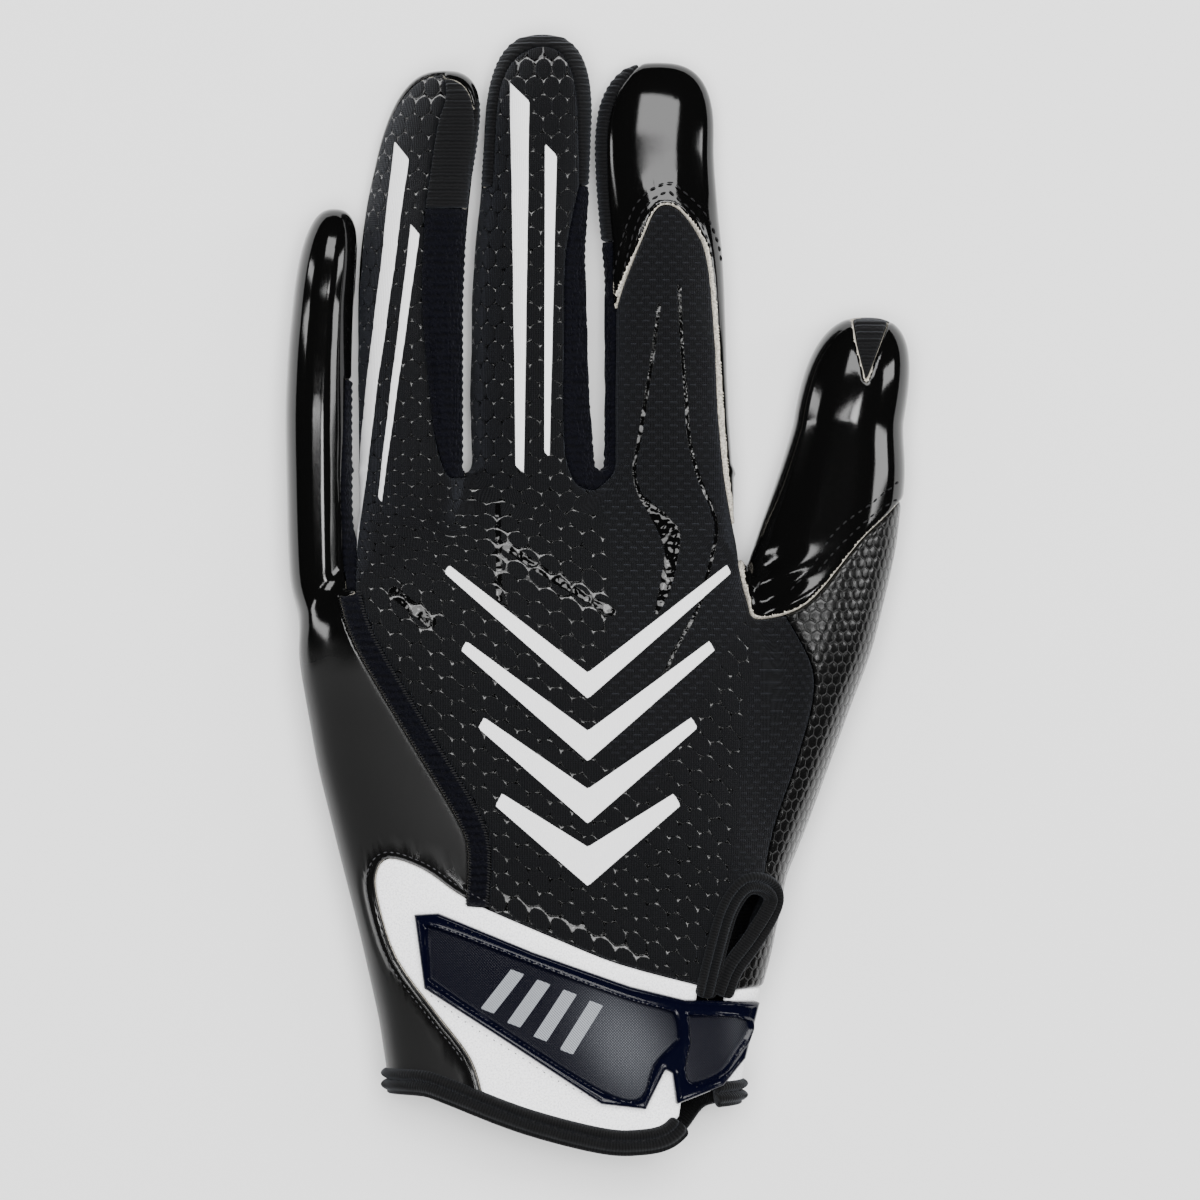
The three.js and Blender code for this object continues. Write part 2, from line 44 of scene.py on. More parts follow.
from mathutils.bvhtree import BVHTree

# Sizes of the hand in millimetres, as in the CAD source
SIZE = {
    "pinky": (14.4, 81.7, 17.0, 0.0), "ring": (23.2, 88.2, 20.5, 31.0), "middle": (27.0, 96.1, 17.5, 16.0),
    "index": (28.0, 90.3, 15.5, 0.0), "thumb": (21.5, 55.9, 17.5, 0.0),
}
PALM_LENGTH, PALM_HEIGHT, CUFF_WIDTH, CUFF_HEIGHT, FINGER_GAP = 144.0, 27.0, 77.0, 25.0, 1.1
# The underside lies on the floor, so the sections reach a little below it and are cut flat
FLATTENING = 0.7
HAND_WIDTH = sum(SIZE[d][0] for d in ("pinky", "ring", "middle", "index")) + 3 * FINGER_GAP
# From the plan's origin to the frame's, and metres in a millimetre
SHIFT = np.array([-0.407, -120.039, 0.0])
MM = 0.001
# Thickness of the panels, and half of the opening between two of them
WALL, GAP = 1.3, 0.12
# Distances in plan are worked out up to a reach, and a value beyond it stands for far outside
FIELD_REACH, FAR_OUT = 8.0, 9.0
VOXEL = 0.65


def palm(across, along):
    share = min(max((along - 0.25) / 0.5, 0), 1)
    return (across * (CUFF_WIDTH + (HAND_WIDTH - CUFF_WIDTH) * share), along * PALM_LENGTH)


HAND_LEFT = -0.691 * HAND_WIDTH
ROOTS = {"pinky": (HAND_LEFT + SIZE["pinky"][0] / 2, 0.839 * PALM_LENGTH)}
edge = HAND_LEFT + SIZE["pinky"][0] + FINGER_GAP
for name in ("ring", "middle", "index"):
    ROOTS[name] = (edge + SIZE[name][0] / 2, PALM_LENGTH)
    edge += SIZE[name][0] + FINGER_GAP
ROOTS["thumb"] = (edge - FINGER_GAP + 0.11 * SIZE["thumb"][0], 0.854 * PALM_LENGTH)


def plan_of(digit):
    width, length, _, _ = SIZE[digit]
    x, y = ROOTS[digit]
    return lambda across, along: (x + across * width, y + along * length)


pinky, ring, middle, index, thumb = (plan_of(d) for d in ("pinky", "ring", "middle", "index", "thumb"))

# Sections: share along, left and right shares of the palm's width, share of the height
HAND_SECTIONS = [
    (-0.06, -0.55, 0.39, 1.0), (0.105, -0.575, 0.413, 0.97), (0.194, -0.6, 0.441, 0.97), (0.284, -0.626, 0.483, 1.0),
    (0.373, -0.64, 0.497, 0.98), (0.478, -0.655, 0.492, 1.0), (0.582, -0.667, 0.487, 1.0),
    (0.672, -0.668, 0.476, 1.0), (0.747, -0.666, 0.44, 0.96), (0.815, -0.655, 0.365, 0.89),
    (0.86, -0.55, 0.335, 0.81), (0.94, -0.525, 0.315, 0.67), (1.01, -0.51, 0.3, 0.42),
]
# Sections of a digit: along, aside, width, height in shares of its own sizes, then its tip
DIGIT_SECTIONS = {
    "pinky": [(-0.35, 0.5, 0.4, 0.6), (-0.01, 0.01, 0.93, 1.0), (0.15, -0.01, 0.96, 1.0), (0.47, -0.03, 0.99, 1.0),
              (0.63, 0.0, 0.96, 0.97), (0.76, 0.04, 0.91, 0.92)],
    "ring": [(-0.3, 0.0, 0.6, 0.8), (0.0, -0.02, 0.98, 1.0), (0.44, -0.02, 0.98, 0.98), (0.56, 0.0, 0.98, 0.96),
             (0.68, 0.05, 0.96, 0.92), (0.77, 0.11, 0.92, 0.87)],
    "middle": [(-0.25, 0.0, 0.6, 0.9), (0.0, 0.0, 0.98, 1.0), (0.18, -0.04, 0.95, 0.98), (0.51, -0.04, 0.88, 0.95),
               (0.63, 0.0, 0.86, 0.92), (0.78, 0.03, 0.85, 0.88)],
    "index": [(-0.25, -0.05, 0.6, 1.0), (0.0, 0.01, 0.98, 1.0), (0.12, 0.0, 0.94, 1.0), (0.5, -0.02, 0.9, 0.95),
              (0.6, -0.05, 0.92, 0.93), (0.79, -0.1, 0.92, 0.9)],
    "thumb": [(-1.4, 0.0, 0.3, 0.6), (-0.97, 0.25, 0.76, 1.1), (-0.51, 0.52, 1.1, 1.22), (-0.28, 0.66, 1.27, 1.22),
              (-0.05, 0.73, 1.42, 1.16), (0.13, 0.84, 1.42, 1.08), (0.4, 1.0, 1.25, 1.0), (0.6, 1.06, 1.05, 0.95)],
}
TIPS = {"pinky": (0.22, 1.0), "ring": (0.29, 1.0), "middle": (0.06, 1.0), "index": (-0.06, 1.0), "thumb": (1.25, 1.0)}
# Where a digit's rounded end is cut to its length, in degrees, and the powers that say how round it all is
DOME_TURN, DOME_POWER, ROUND_HAND, ROUND_DIGIT = 84.0, 2.7, 2.5, 2.2


def eased(places, values, at, spread=3.0):
    """Values between the places, straight and then softened over a few millimetres."""
    fine = np.arange(places[0] - 4 * spread, places[-1] + 4 * spread, 0.5)
    steps = np.interp(fine, places, values)
    kernel = np.exp(-0.5 * (np.arange(-6 * spread, 6 * spread + 1) * 0.5 / spread) ** 2)
    padded = np.pad(steps, len(kernel) // 2, mode="edge")
    soft = np.convolve(padded, kernel / kernel.sum(), mode="valid")
    return np.interp(at, fine, soft[: len(fine)])


# The space in which the hand's form is worked out
LOW, HIGH = np.array([-70.0, -6.0, -2.0]), np.array([71.0, 246.0, 31.0])
AXES = [np.arange(LOW[i], HIGH[i], VOXEL) for i in range(3)]


def normalised(field):
    slopes = np.gradient(field, VOXEL)
    return field / np.sqrt(sum(s * s for s in slopes) + 1e-6)


def ramp(value, start, end):
    t = np.clip((value - start) / (end - start), 0, 1)
    return t * t * (3 - 2 * t)


def smooth_join(a, b, reach):
    share = np.clip(0.5 + 0.5 * (b - a) / reach, 0, 1)
    return b + (a - b) * share - reach * share * (1 - share)


def oval(x, z, middle_x, half_width, tall, power, lean=0.0):
    """How far out a point lies in the sections, with one on their border."""
    half_height, middle_z = (tall + FLATTENING) / 2, (tall - FLATTENING) / 2
    across = ((x[:, None] - middle_x[None, :]) / half_width[None, :])[:, :, None]
    up = ((z[None, :] - middle_z[:, None]) / half_height[:, None])[None]
    turned = (up - across * math.sin(lean)) / math.cos(lean)
    return (np.abs(across) ** power + np.abs(turned) ** power) ** (1 / power)


def digit_field(digit):
    width, length, height, lean = SIZE[digit]
    plan, rows = plan_of(digit), DIGIT_SECTIONS[digit]
    xs, ys = np.array([plan(r[1], r[0]) for r in rows]).T
    tip_x, tip_y = plan(*TIPS[digit])
    full = math.sin(math.radians(DOME_TURN))
    end_x, end_y = xs[-1] + (tip_x - xs[-1]) / full, ys[-1] + (tip_y - ys[-1]) / full
    x, y, z = (a.astype(np.float32) for a in AXES)
    reach = np.clip((y - ys[-1]) / (end_y - ys[-1]), 0, 1.6)
    middle_x = eased(np.append(ys, end_y), np.append(xs, end_x), y)
    grow = 0.5 + 0.5 * ramp(y, ys[0], ys[0] + 20.0)
    half_width = grow * eased(ys, np.array([r[2] for r in rows]) * width / 2, np.minimum(y, ys[-1]))
    tall = grow * eased(ys, np.array([r[3] for r in rows]) * height, np.minimum(y, ys[-1]))
    radius = oval(x, z, middle_x, half_width, tall, ROUND_DIGIT, math.radians(lean))
    whole = (radius ** DOME_POWER + reach[None, :, None] ** DOME_POWER) ** (1 / DOME_POWER) - 1
    below = ((ys[0] - y) / (0.3 * width))[None, :, None]
    return normalised(np.maximum(whole, below).astype(np.float32))


def hand_field():
    ys = np.array([r[0] * PALM_LENGTH for r in HAND_SECTIONS])
    lefts = np.array([palm(r[1], r[0])[0] for r in HAND_SECTIONS])
    rights = np.array([palm(r[2], r[0])[0] for r in HAND_SECTIONS])
    to_cuff = np.clip((0.75 - ys / PALM_LENGTH) / 0.5, 0, 1)
    talls = np.array([r[3] for r in HAND_SECTIONS]) * (PALM_HEIGHT + (CUFF_HEIGHT - PALM_HEIGHT) * to_cuff)
    x, y, z = (a.astype(np.float32) for a in AXES)
    left, right, tall = (eased(ys, v, y, 2.5) for v in (lefts, rights, talls))
    radius = oval(x, z, (right + left) / 2, (right - left) / 2, tall, ROUND_HAND) - 1
    end = ((y - ys[-1]) / 6.0)[None, :, None]
    return normalised(np.maximum(radius, end).astype(np.float32))


def hand_form():
    digits = digit_field("pinky")
    for digit in ("ring", "middle", "index", "thumb"):
        field = digit_field(digit)
        between = 0.45 - np.abs(digits - field) / 2
        digits = np.minimum(digits, field)
        if digit == "ring":
            # The little finger and the ring finger lie close and don't grow together
            digits = np.maximum(digits, between)
    whole = smooth_join(hand_field(), digits, 3.0)
    resting = -AXES[2].astype(np.float32)[None, None, :]
    return -smooth_join(-whole, -np.broadcast_to(resting, whole.shape), 1.2)


class Volume:
    """A field on the grid that can be read anywhere between its points."""

    def __init__(self, field):
        self.field = field

    def at(self, points):
        place = (points - LOW) / VOXEL
        base = np.clip(np.floor(place).astype(int), 0, np.array(self.field.shape) - 2)
        part = place - base
        i, j, k = base.T
        total = 0
        for di in (0, 1):
            for dj in (0, 1):
                for dk in (0, 1):
                    weight = np.prod(np.where([di, dj, dk], part, 1 - part), axis=1)
                    total = total + weight * self.field[i + di, j + dj, k + dk]
        return total

    def normals(self, points):
        step = VOXEL
        slope = np.stack([
            self.at(points + np.eye(3)[n] * step) - self.at(points - np.eye(3)[n] * step) for n in range(3)
        ], axis=1)
        return slope / (np.linalg.norm(slope, axis=1, keepdims=True) + 1e-9)


form = Volume(hand_form())


def skin_mesh():
    grid = openvdb.FloatGrid(3.0)
    grid.copyFromArray(np.clip(form.field, -3, 3).astype(np.float32))
    points, triangles, quads = grid.convertToPolygons(isovalue=0.0, adaptivity=0.0)
    points = points.astype(float) * VOXEL + LOW
    faces = np.concatenate([triangles, quads[:, [0, 1, 2]], quads[:, [0, 2, 3]]]).astype(int)
    for _ in range(3):
        sums, counts = np.zeros_like(points), np.zeros(len(points))
        for a, b in ((0, 1), (1, 2), (2, 0)):
            np.add.at(sums, faces[:, a], points[faces[:, b]])
            np.add.at(sums, faces[:, b], points[faces[:, a]])
            np.add.at(counts, faces[:, a], 1)
            np.add.at(counts, faces[:, b], 1)
        points = points + 0.5 * (sums / counts[:, None] - points)
        points = points - form.normals(points) * form.at(points)[:, None]
    corner = points[faces]
    facing = np.cross(corner[:, 1] - corner[:, 0], corner[:, 2] - corner[:, 0])
    if (facing * form.normals(corner.mean(axis=1))).sum() < 0:
        faces = faces[:, ::-1]
    return points, faces


base_points, base_faces = skin_mesh()
rng = random.Random(7)


def curve(points, steps=4):
    """A smooth line through the points."""
    p = np.array([points[0], *points, points[-1]], float)
    t = (np.arange(steps) / steps)[:, None]
    out = []
    for i in range(1, len(p) - 2):
        a, b, c, d = p[i - 1], p[i], p[i + 1], p[i + 2]
        out.append(b + 0.5 * t * (c - a) + t ** 2 * (a - 2.5 * b + 2 * c - 0.5 * d)
                   + t ** 3 * (1.5 * b - 0.5 * a - 1.5 * c + 0.5 * d))
    return np.concatenate([*out, p[-1:]])


def edge_distances(points, line, looped=False):
    """Which points lie near a line in plan, how far from it, and which of them are outside it if it is closed."""
    near = ((points[:, :2] > line.min(axis=0) - FIELD_REACH)
            & (points[:, :2] < line.max(axis=0) + FIELD_REACH)).all(axis=1)
    x, y = points[near, :2].T
    best, outside = np.full(len(x), 1e18), np.ones(len(x), bool)
    ends = np.roll(line, -1, axis=0)
    for (ax, ay), (bx, by) in list(zip(line, ends))[: None if looped else -1]:
        ex, ey, wx, wy = bx - ax, by - ay, x - ax, y - ay
        t = np.clip((wx * ex + wy * ey) / (ex * ex + ey * ey + 1e-12), 0, 1)
        best = np.minimum(best, (wx - ex * t) ** 2 + (wy - ey * t) ** 2)
        over, under, left = y >= ay, y < by, ex * wy > ey * wx
        outside ^= (over & under & left) | (~over & ~under & ~left)
    return near, np.sqrt(best), outside


def inside(points, outline):
    """Signed distance in plan to a closed outline, above nought inside it."""
    near, distance, outside = edge_distances(points, np.array(outline, float), looped=True)
    result = np.full(len(points), -FIELD_REACH)
    result[near] = distance * np.where(outside, -1, 1)
    return result


def away(points, line):
    """Distance in plan to an open line."""
    near, distance, _ = edge_distances(points, np.asarray(line, float))
    result = np.full(len(points), FIELD_REACH)
    result[near] = distance
    return result


def most_inside(points, outlines):
    result = np.full(len(points), -FAR_OUT)
    for shape in outlines:
        result = np.maximum(result, inside(points, shape))
    return result


def beside_index(along):
    x, y = index(-0.47, along)
    return (x + 1.7, y)


def run(plan, *numbers):
    """Points of a digit's or the palm's plan, from their shares across and along in turn."""
    return [plan(*pair) for pair in zip(numbers[::2], numbers[1::2])]


# Seam lines in plan
thumb_gusset_edge = np.array(run(thumb, 1.05, 1.05, 1.1, 1.0, 1.14, 0.9, 1.23, 0.76))
ulnar_seam = curve(run(palm, -0.546, 0.83, -0.511, 0.761, -0.41, 0.623, -0.313, 0.505, -0.29, 0.448, -0.307, 0.366))
hem_seam = curve(run(palm, -0.31, 0.084, -0.346, 0.142, -0.441, 0.208, -0.54, 0.287, -0.568, 0.366, -0.564, 0.412,
                 -0.524, 0.437, -0.438, 0.421, -0.358, 0.387, -0.283, 0.363))
band_seam = curve(run(palm, -0.283, 0.363, -0.092, 0.317, 0.072, 0.281, 0.32, 0.245))
band_side_seam = np.array(run(palm, 0.37, 0.24, 0.53, 0.246))
side_seam = curve([thumb(0.412, -0.146), *run(palm, 0.488, 0.729, 0.506, 0.672, 0.487, 0.582, 0.453, 0.482, 0.44,
                  0.39)])
thumb_seam = curve(run(thumb, -0.02, 0.04, 0.05, -0.08, 0.12, -0.15, 0.41, -0.14, 0.72, -0.07, 1.17, 0.14, 1.47,
                   0.25, 1.85, 0.4))
index_cap_seam = curve([beside_index(0.4), *run(index, -0.35, 0.46, -0.18, 0.58, -0.09, 0.64, 0.0, 0.655, 0.11, 0.64,
                       0.24, 0.59, 0.31, 0.54, 0.36, 0.43, 0.4, 0.25, 0.43, 0.1, 0.47, -0.02, 0.55, -0.15),
                       thumb(-0.02, 0.04)])
index_seam = curve([*run(index, -0.54, -0.02, -0.42, 0.02), beside_index(0.08), beside_index(0.24),
                   beside_index(0.4)])
index_gusset_seam = curve(run(index, -0.43, 0.57, -0.46, 0.69, -0.47, 0.81, -0.44, 0.88, -0.38, 0.93, -0.28, 0.975,
                          -0.17, 1.01))
middle_seam = curve(run(middle, 0.38, 0.66, 0.27, 0.51, 0.25, 0.35, 0.25, 0.09, 0.33, 0.0, 0.45, -0.02))
middle_gusset_seam = curve([*run(middle, -0.35, 0.66, -0.33, 0.74, -0.31, 0.83, -0.26, 0.9, -0.15, 0.95, 0.03, 0.975,
                           0.19, 0.965, 0.29, 0.93, 0.35, 0.87, 0.37, 0.78, 0.38, 0.66)])
ring_gusset_seam = curve(run(ring, 0.25, 1.05, 0.31, 0.94, 0.23, 0.86, 0.12, 0.66))
ring_seam = curve(run(ring, 0.12, 0.66, 0.09, 0.44, 0.17, 0.2, 0.23, 0.09, 0.35, 0.01, 0.5, 0.01))
pinky_seam = np.array(run(pinky, 0.4, 0.0, 0.36, 0.25, 0.42, 0.55))
cuff_edge = curve(run(palm, -0.72, 0.105, -0.5, 0.105, -0.422, 0.096, -0.198, 0.051, 0.017, 0.021, 0.128, 0.018,
                  0.218, 0.03, 0.296, 0.08, 0.422, 0.09, 0.56, 0.1))
keyhole = curve(run(palm, 0.304, 0.231, 0.336, 0.328, 0.356, 0.37, 0.388, 0.397, 0.426, 0.402, 0.465, 0.391, 0.474,
                0.365, 0.433, 0.314, 0.385, 0.272, 0.36, 0.231))
slit_line = np.array(run(palm, 0.329, 0.24, 0.25, -0.05))
pinky_gap = np.array([*run(pinky, 0.53, -0.01, 0.53, 0.76), *run(ring, -0.504, 0.561, -0.467, 0.645, -0.467, 1.04)])
ring_gap = np.array(run(ring, 0.5, -0.06, 0.5, 0.44, 0.54, 0.56, 0.6, 0.77, 0.65, 0.88, 0.65, 1.3))
middle_gap = np.array([*run(middle, 0.52, -0.06, 0.51, 0.4, 0.495, 0.54), *run(index, -0.563, 0.692, -0.566, 0.809,
                      -0.544, 0.905, -0.482, 1.277)])


def stretch(line, low, high):
    """The part of a line that runs up the hand between two heights of the plan."""
    def cut(level):
        after = next(i for i, p in enumerate(line) if p[1] >= level)
        a, b = line[after - 1], line[after]
        return a + (b - a) * (level - a[1]) / (b[1] - a[1])
    return np.array([cut(low), *[p for p in line if low < p[1] < high], cut(high)])


ring_join, middle_join, index_join = ring(0, 0.66)[1], middle(0, 0.66)[1], index(0, 0.57)[1]
tips_end = middle(0, 1.1)[1]


def unit(vectors):
    return vectors / np.linalg.norm(vectors, axis=1, keepdims=True)


def ahead_of(path):
    """Which way a path runs at each of its points."""
    return unit(np.gradient(np.asarray(path, float), axis=0))


def beside(line, distance):
    """The line moved sideways in plan."""
    x, y = ahead_of(line).T
    return line + np.stack([-y, x], axis=1) * distance


def strip(line, width):
    return np.concatenate([beside(line, width / 2), beside(line, -width / 2)[::-1]])


def outline(*parts):
    return np.concatenate([np.atleast_2d(np.asarray(p, float)) for p in parts])


FINGER_ZONES = [
    ("pinky", outline(pinky_gap, *run(palm, -1, 2.4, -1, 0.84))),
    ("ring", outline(pinky_gap, ring_gap[::-1])),
    ("middle", outline(ring_gap, middle_gap[::-1])),
    ("index", outline(middle_gap, *run(thumb, 0, 3, -0.03, 0.06))),
]
# How far below the seams along the sides some pieces reach
SIDE_DROP, BASE_DROP, FOURCHETTE_DROP, ALL_ROUND = 1.0, 3.0, 4.0, 300.0


def seam_height(points):
    """Height of the seams along the sides: on a finger at its widest line, on the hand a little lower."""
    level = np.full(len(points), PALM_HEIGHT / 3)
    for digit, zone in FINGER_ZONES:
        width, _, height, lean = SIZE[digit]
        lift = math.sin(math.radians(lean)) * height / width
        plane = height / 2 + lift * (points[:, 0] - ROOTS[digit][0])
        level += (plane - level) * ramp(inside(points, zone), -1.5, 1.5)
    return level


# The pieces of the skin from the top one down: name, outline in plan, and how far below the side seams it reaches
REGIONS = [
    ("ulnar_seam_tape", strip(ulnar_seam, 4.6), 0),
    ("tip_gusset_ring", outline(ring_gusset_seam, stretch(ring_gap, ring_join, tips_end)), 0),
    ("tip_gusset_middle", outline(middle_gusset_seam, stretch(middle_gap, middle_join, tips_end),
                                  stretch(ring_gap, middle_join, tips_end)[::-1]), SIDE_DROP),
    ("tip_gusset_index", outline(index_gusset_seam, stretch(middle_gap, index_join, tips_end)[::-1]),
     FOURCHETTE_DROP),
    ("fourchette_pinky_ring", outline(pinky_seam, stretch(pinky_gap, pinky_seam[0][1], pinky_seam[2][1])[::-1]),
     FOURCHETTE_DROP),
    ("fourchette_ring_middle", outline(ring_seam, stretch(ring_gap, ring_seam[-1][1], ring_join)), 0),
    ("fourchette_middle_index", outline(middle_seam, index_seam, index_gusset_seam[0],
                                        stretch(middle_gap, index_join, middle_join)), FOURCHETTE_DROP),
    ("tip_gusset_thumb", outline(thumb_gusset_edge, *run(thumb, 1.46, 0.985, 1.49, 1.05)), SIDE_DROP),
    ("thumb_panel", outline(thumb_seam, *run(thumb, 2.2, 0.4, 2.2, 1.3, 0.1, 1.3)), ALL_ROUND),
    ("thumb_base_panel", outline(side_seam, palm(0.4, 0.32), band_side_seam,
                                 *run(thumb, 2.2, -1.9, 2.2, 0.5, 0.5, 0)), BASE_DROP),
    ("cuff_band", outline(hem_seam, band_seam, slit_line, palm(-0.31, -0.05)), 0),
    ("cuff_band_thumb_side", outline(slit_line[1], slit_line[0], band_side_seam,
                                     *run(palm, 0.7, 0.246, 0.7, -0.05)), ALL_ROUND),
    ("back_panel", outline(
        ulnar_seam[::-1], pinky_gap, ring_gusset_seam, ring_seam, stretch(ring_gap, ring_seam[-1][1], tips_end),
        stretch(middle_gap, middle_join, tips_end)[::-1], middle_seam, index_seam, index_cap_seam,
        thumb_seam[3:18], side_seam, band_seam[::-1]), SIDE_DROP),
]
STRAP = outline(*run(palm, -0.47, 0.355, -0.466, 0.246, 0.02, 0.074, 0.142, 0.066, 0.195, 0.125, 0.215, 0.119, 0.226,
                0.073, 0.349, 0.099, 0.405, 0.14, 0.444, 0.225, 0.249, 0.229, 0.101, 0.249, -0.166, 0.3, -0.408,
                0.357))
above_cuff = outline(cuff_edge, *run(palm, 2, 0.1, 2, 3, -2, 3, -2, 0.105))


def region_fields(points):
    """For every piece of the skin how far a point lies inside its border."""
    height = points[:, 2] - seam_height(points)
    slit = np.minimum(inside(points, strip(slit_line, 6.0)), height)
    taken = np.maximum(slit, np.minimum(inside(points, keyhole), height))
    taken = np.maximum(taken, -(inside(points, above_cuff) - 1.0))
    fields = {}
    for name, shape, drop in REGIONS:
        field = np.minimum(inside(points, shape), height + drop)
        fields[name] = np.minimum(field, -taken)
        taken = np.maximum(taken, field)
    fields["palm_panel"] = -taken
    return fields


def shared_edges(points, pairs):
    """Both ends of each different edge, and for every pair the number of the new point on its edge."""
    pairs.sort(axis=1)
    keys, back = np.unique(pairs[:, 0] * len(points) + pairs[:, 1], return_inverse=True)
    return keys // len(points), keys % len(points), back.ravel() + len(points)


def cut_mesh(points, faces, values, keep_all=False):
    """Cuts the triangles along the line where the values are nought, and keeps those above it or all."""
    over = values > 0
    state = over[faces]
    count = state.sum(axis=1)
    mixed = (count == 1) | (count == 2)
    whole = faces[(count == 3) | (keep_all & (count == 0))]
    if not mixed.any():
        return points, whole
    m, s = faces[mixed], state[mixed]
    lone_is_over = s.sum(axis=1) == 1
    lone = np.argmax(s == lone_is_over[:, None], axis=1)
    rows = np.arange(len(m))
    a, b, c = m[rows, lone], m[rows, (lone + 1) % 3], m[rows, (lone + 2) % 3]
    i, j, back = shared_edges(points, np.concatenate([np.stack([a, b], 1), np.stack([a, c], 1)]))
    t = np.clip(values[i] / (values[i] - values[j]), 0.02, 0.98)[:, None]
    p, q = back[: len(m)], back[len(m):]
    tips, b1, b2 = np.stack([a, p, q], 1), np.stack([p, b, c], 1), np.stack([p, c, q], 1)
    if not keep_all:
        tips, b1, b2 = tips[lone_is_over], b1[~lone_is_over], b2[~lone_is_over]
    points = np.concatenate([points, points[i] + (points[j] - points[i]) * t])
    return points, np.concatenate([whole, tips, b1, b2])


def compact(points, faces):
    used, back = np.unique(faces, return_inverse=True)
    return points[used], back.reshape(faces.shape)


def weld(points, faces, step=0.01):
    _, first, back = np.unique(np.round(points / step).astype(int), axis=0, return_index=True, return_inverse=True)
    faces = back.ravel()[faces]
    good = (faces[:, 0] != faces[:, 1]) & (faces[:, 1] != faces[:, 2]) & (faces[:, 0] != faces[:, 2])
    return compact(points[first], faces[good])


def edges_of(faces):
    return np.concatenate([faces[:, [0, 1]], faces[:, [1, 2]], faces[:, [2, 0]]])


def refined(points, faces):
    """Each triangle in four, with the new points brought onto the form."""
    i, j, back = shared_edges(points, edges_of(faces))
    (a, b, c), (ab, bc, ca) = faces.T, back.reshape(3, -1)
    points = np.concatenate([points, (points[i] + points[j]) / 2])
    points = points - form.normals(points) * form.at(points)[:, None]
    return points, np.concatenate([np.stack(t, 1) for t in ((a, ab, ca), (ab, b, bc), (ca, bc, c), (ab, bc, ca))])


def border(faces):
    """The directed edges that only one triangle has."""
    edges, size = edges_of(faces), faces.max() + 1
    key, twin = edges[:, 0] * size + edges[:, 1], edges[:, 1] * size + edges[:, 0]
    return edges[~np.isin(key, twin)]


def closed(outer, inner, faces):
    """A solid between two skins with the same triangles. Gives its points, triangles and which are rim."""
    n, (a, b) = len(outer), border(faces).T
    sides = np.concatenate([np.stack([b, a, a + n], 1), np.stack([b, a + n, b + n], 1)])
    whole = np.concatenate([faces, faces[:, ::-1] + n, sides])
    kind = np.repeat([0, 1, 2], [len(faces), len(faces), len(sides)])
    return np.concatenate([outer, inner]), whole, kind


def linked(name, data):
    """A new object in the scene."""
    piece = bpy.data.objects.new(name, data)
    bpy.context.scene.collection.objects.link(piece)
    return piece


def make(name, nodes, points, faces, materials, kinds=None, attributes=None, angle=50.0):
    """A mesh object from millimetres in the glove's plan, riding on the part's one body."""
    mesh = bpy.data.meshes.new("glove_" + name)
    mesh.vertices.add(len(points))
    mesh.vertices.foreach_set("co", ((points + SHIFT) * MM).astype(np.float32).ravel())
    mesh.loops.add(faces.size)
    mesh.loops.foreach_set("vertex_index", faces.ravel().astype(np.int32))
    mesh.polygons.add(len(faces))
    mesh.polygons.foreach_set("loop_start", np.arange(len(faces), dtype=np.int32) * faces.shape[1])
    for material in materials:
        mesh.materials.append(paints[material])
    if kinds is not None:
        mesh.polygons.foreach_set("material_index", kinds.astype(np.int32))
    mesh.update(calc_edges=True)
    mesh.validate()
    for key, values in (attributes or {}).items():
        kind, field = ("FLOAT", "value") if values.ndim == 1 else ("FLOAT_VECTOR", "vector")
        attribute = mesh.attributes.new(key, kind, "POINT")
        attribute.data.foreach_set(field, np.asarray(values, np.float32).ravel())
    mesh.shade_smooth()
    mesh.set_sharp_from_angle(angle=math.radians(angle))
    piece = linked(mesh.name, mesh)
    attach(piece, "root")
    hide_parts(*nodes)


class Wire:
    """A value in a material. Sums and products of wires and numbers add the nodes for them."""

    def __init__(self, paint, socket):
        self.paint, self.socket = paint, socket

    def __add__(self, other):
        return self.paint.math("ADD", self, other)

    def __sub__(self, other):
        return self.paint.math("SUBTRACT", self, other)

    def __rsub__(self, other):
        return self.paint.math("SUBTRACT", other, self)

    def __mul__(self, other):
        return self.paint.math("MULTIPLY", self, other)

    __radd__, __rmul__ = __add__, __mul__

    def most(self, other):
        return self.paint.math("MAXIMUM", self, other)

    def least(self, other):
        return self.paint.math("MINIMUM", self, other)

    def soft(self, start, end, low=0.0, high=1.0):
        return self.paint.node("ShaderNodeMapRange", (self, start, end, low, high), interpolation_type="SMOOTHSTEP")

    def noise(self, scale, detail=2.0, rough=0.5):
        settings = {"Vector": self, "Scale": scale, "Detail": detail, "Roughness": rough}
        return self.paint.node("ShaderNodeTexNoise", settings, "Fac")

    def wave(self, period):
        """Goes smoothly from nought to one and back in each period."""
        return self.paint.math("COSINE", self * (2 * math.pi / period)) * -0.5 + 0.5

    def parts(self):
        split = self.paint.node("ShaderNodeSeparateXYZ", (self,))
        return [Wire(self.paint, socket) for socket in split.socket.node.outputs]

    def offset(self, shift, scale):
        """How far a place in a lattice lies from the middle of its cell, with the lattice moved by a shift."""
        vector = self.paint.vector
        part = vector("FRACTION", vector("ADD", self, (shift, shift, 0.5)))
        return vector("MULTIPLY", vector("SUBTRACT", part, (0.5, 0.5, 0.5)), scale)


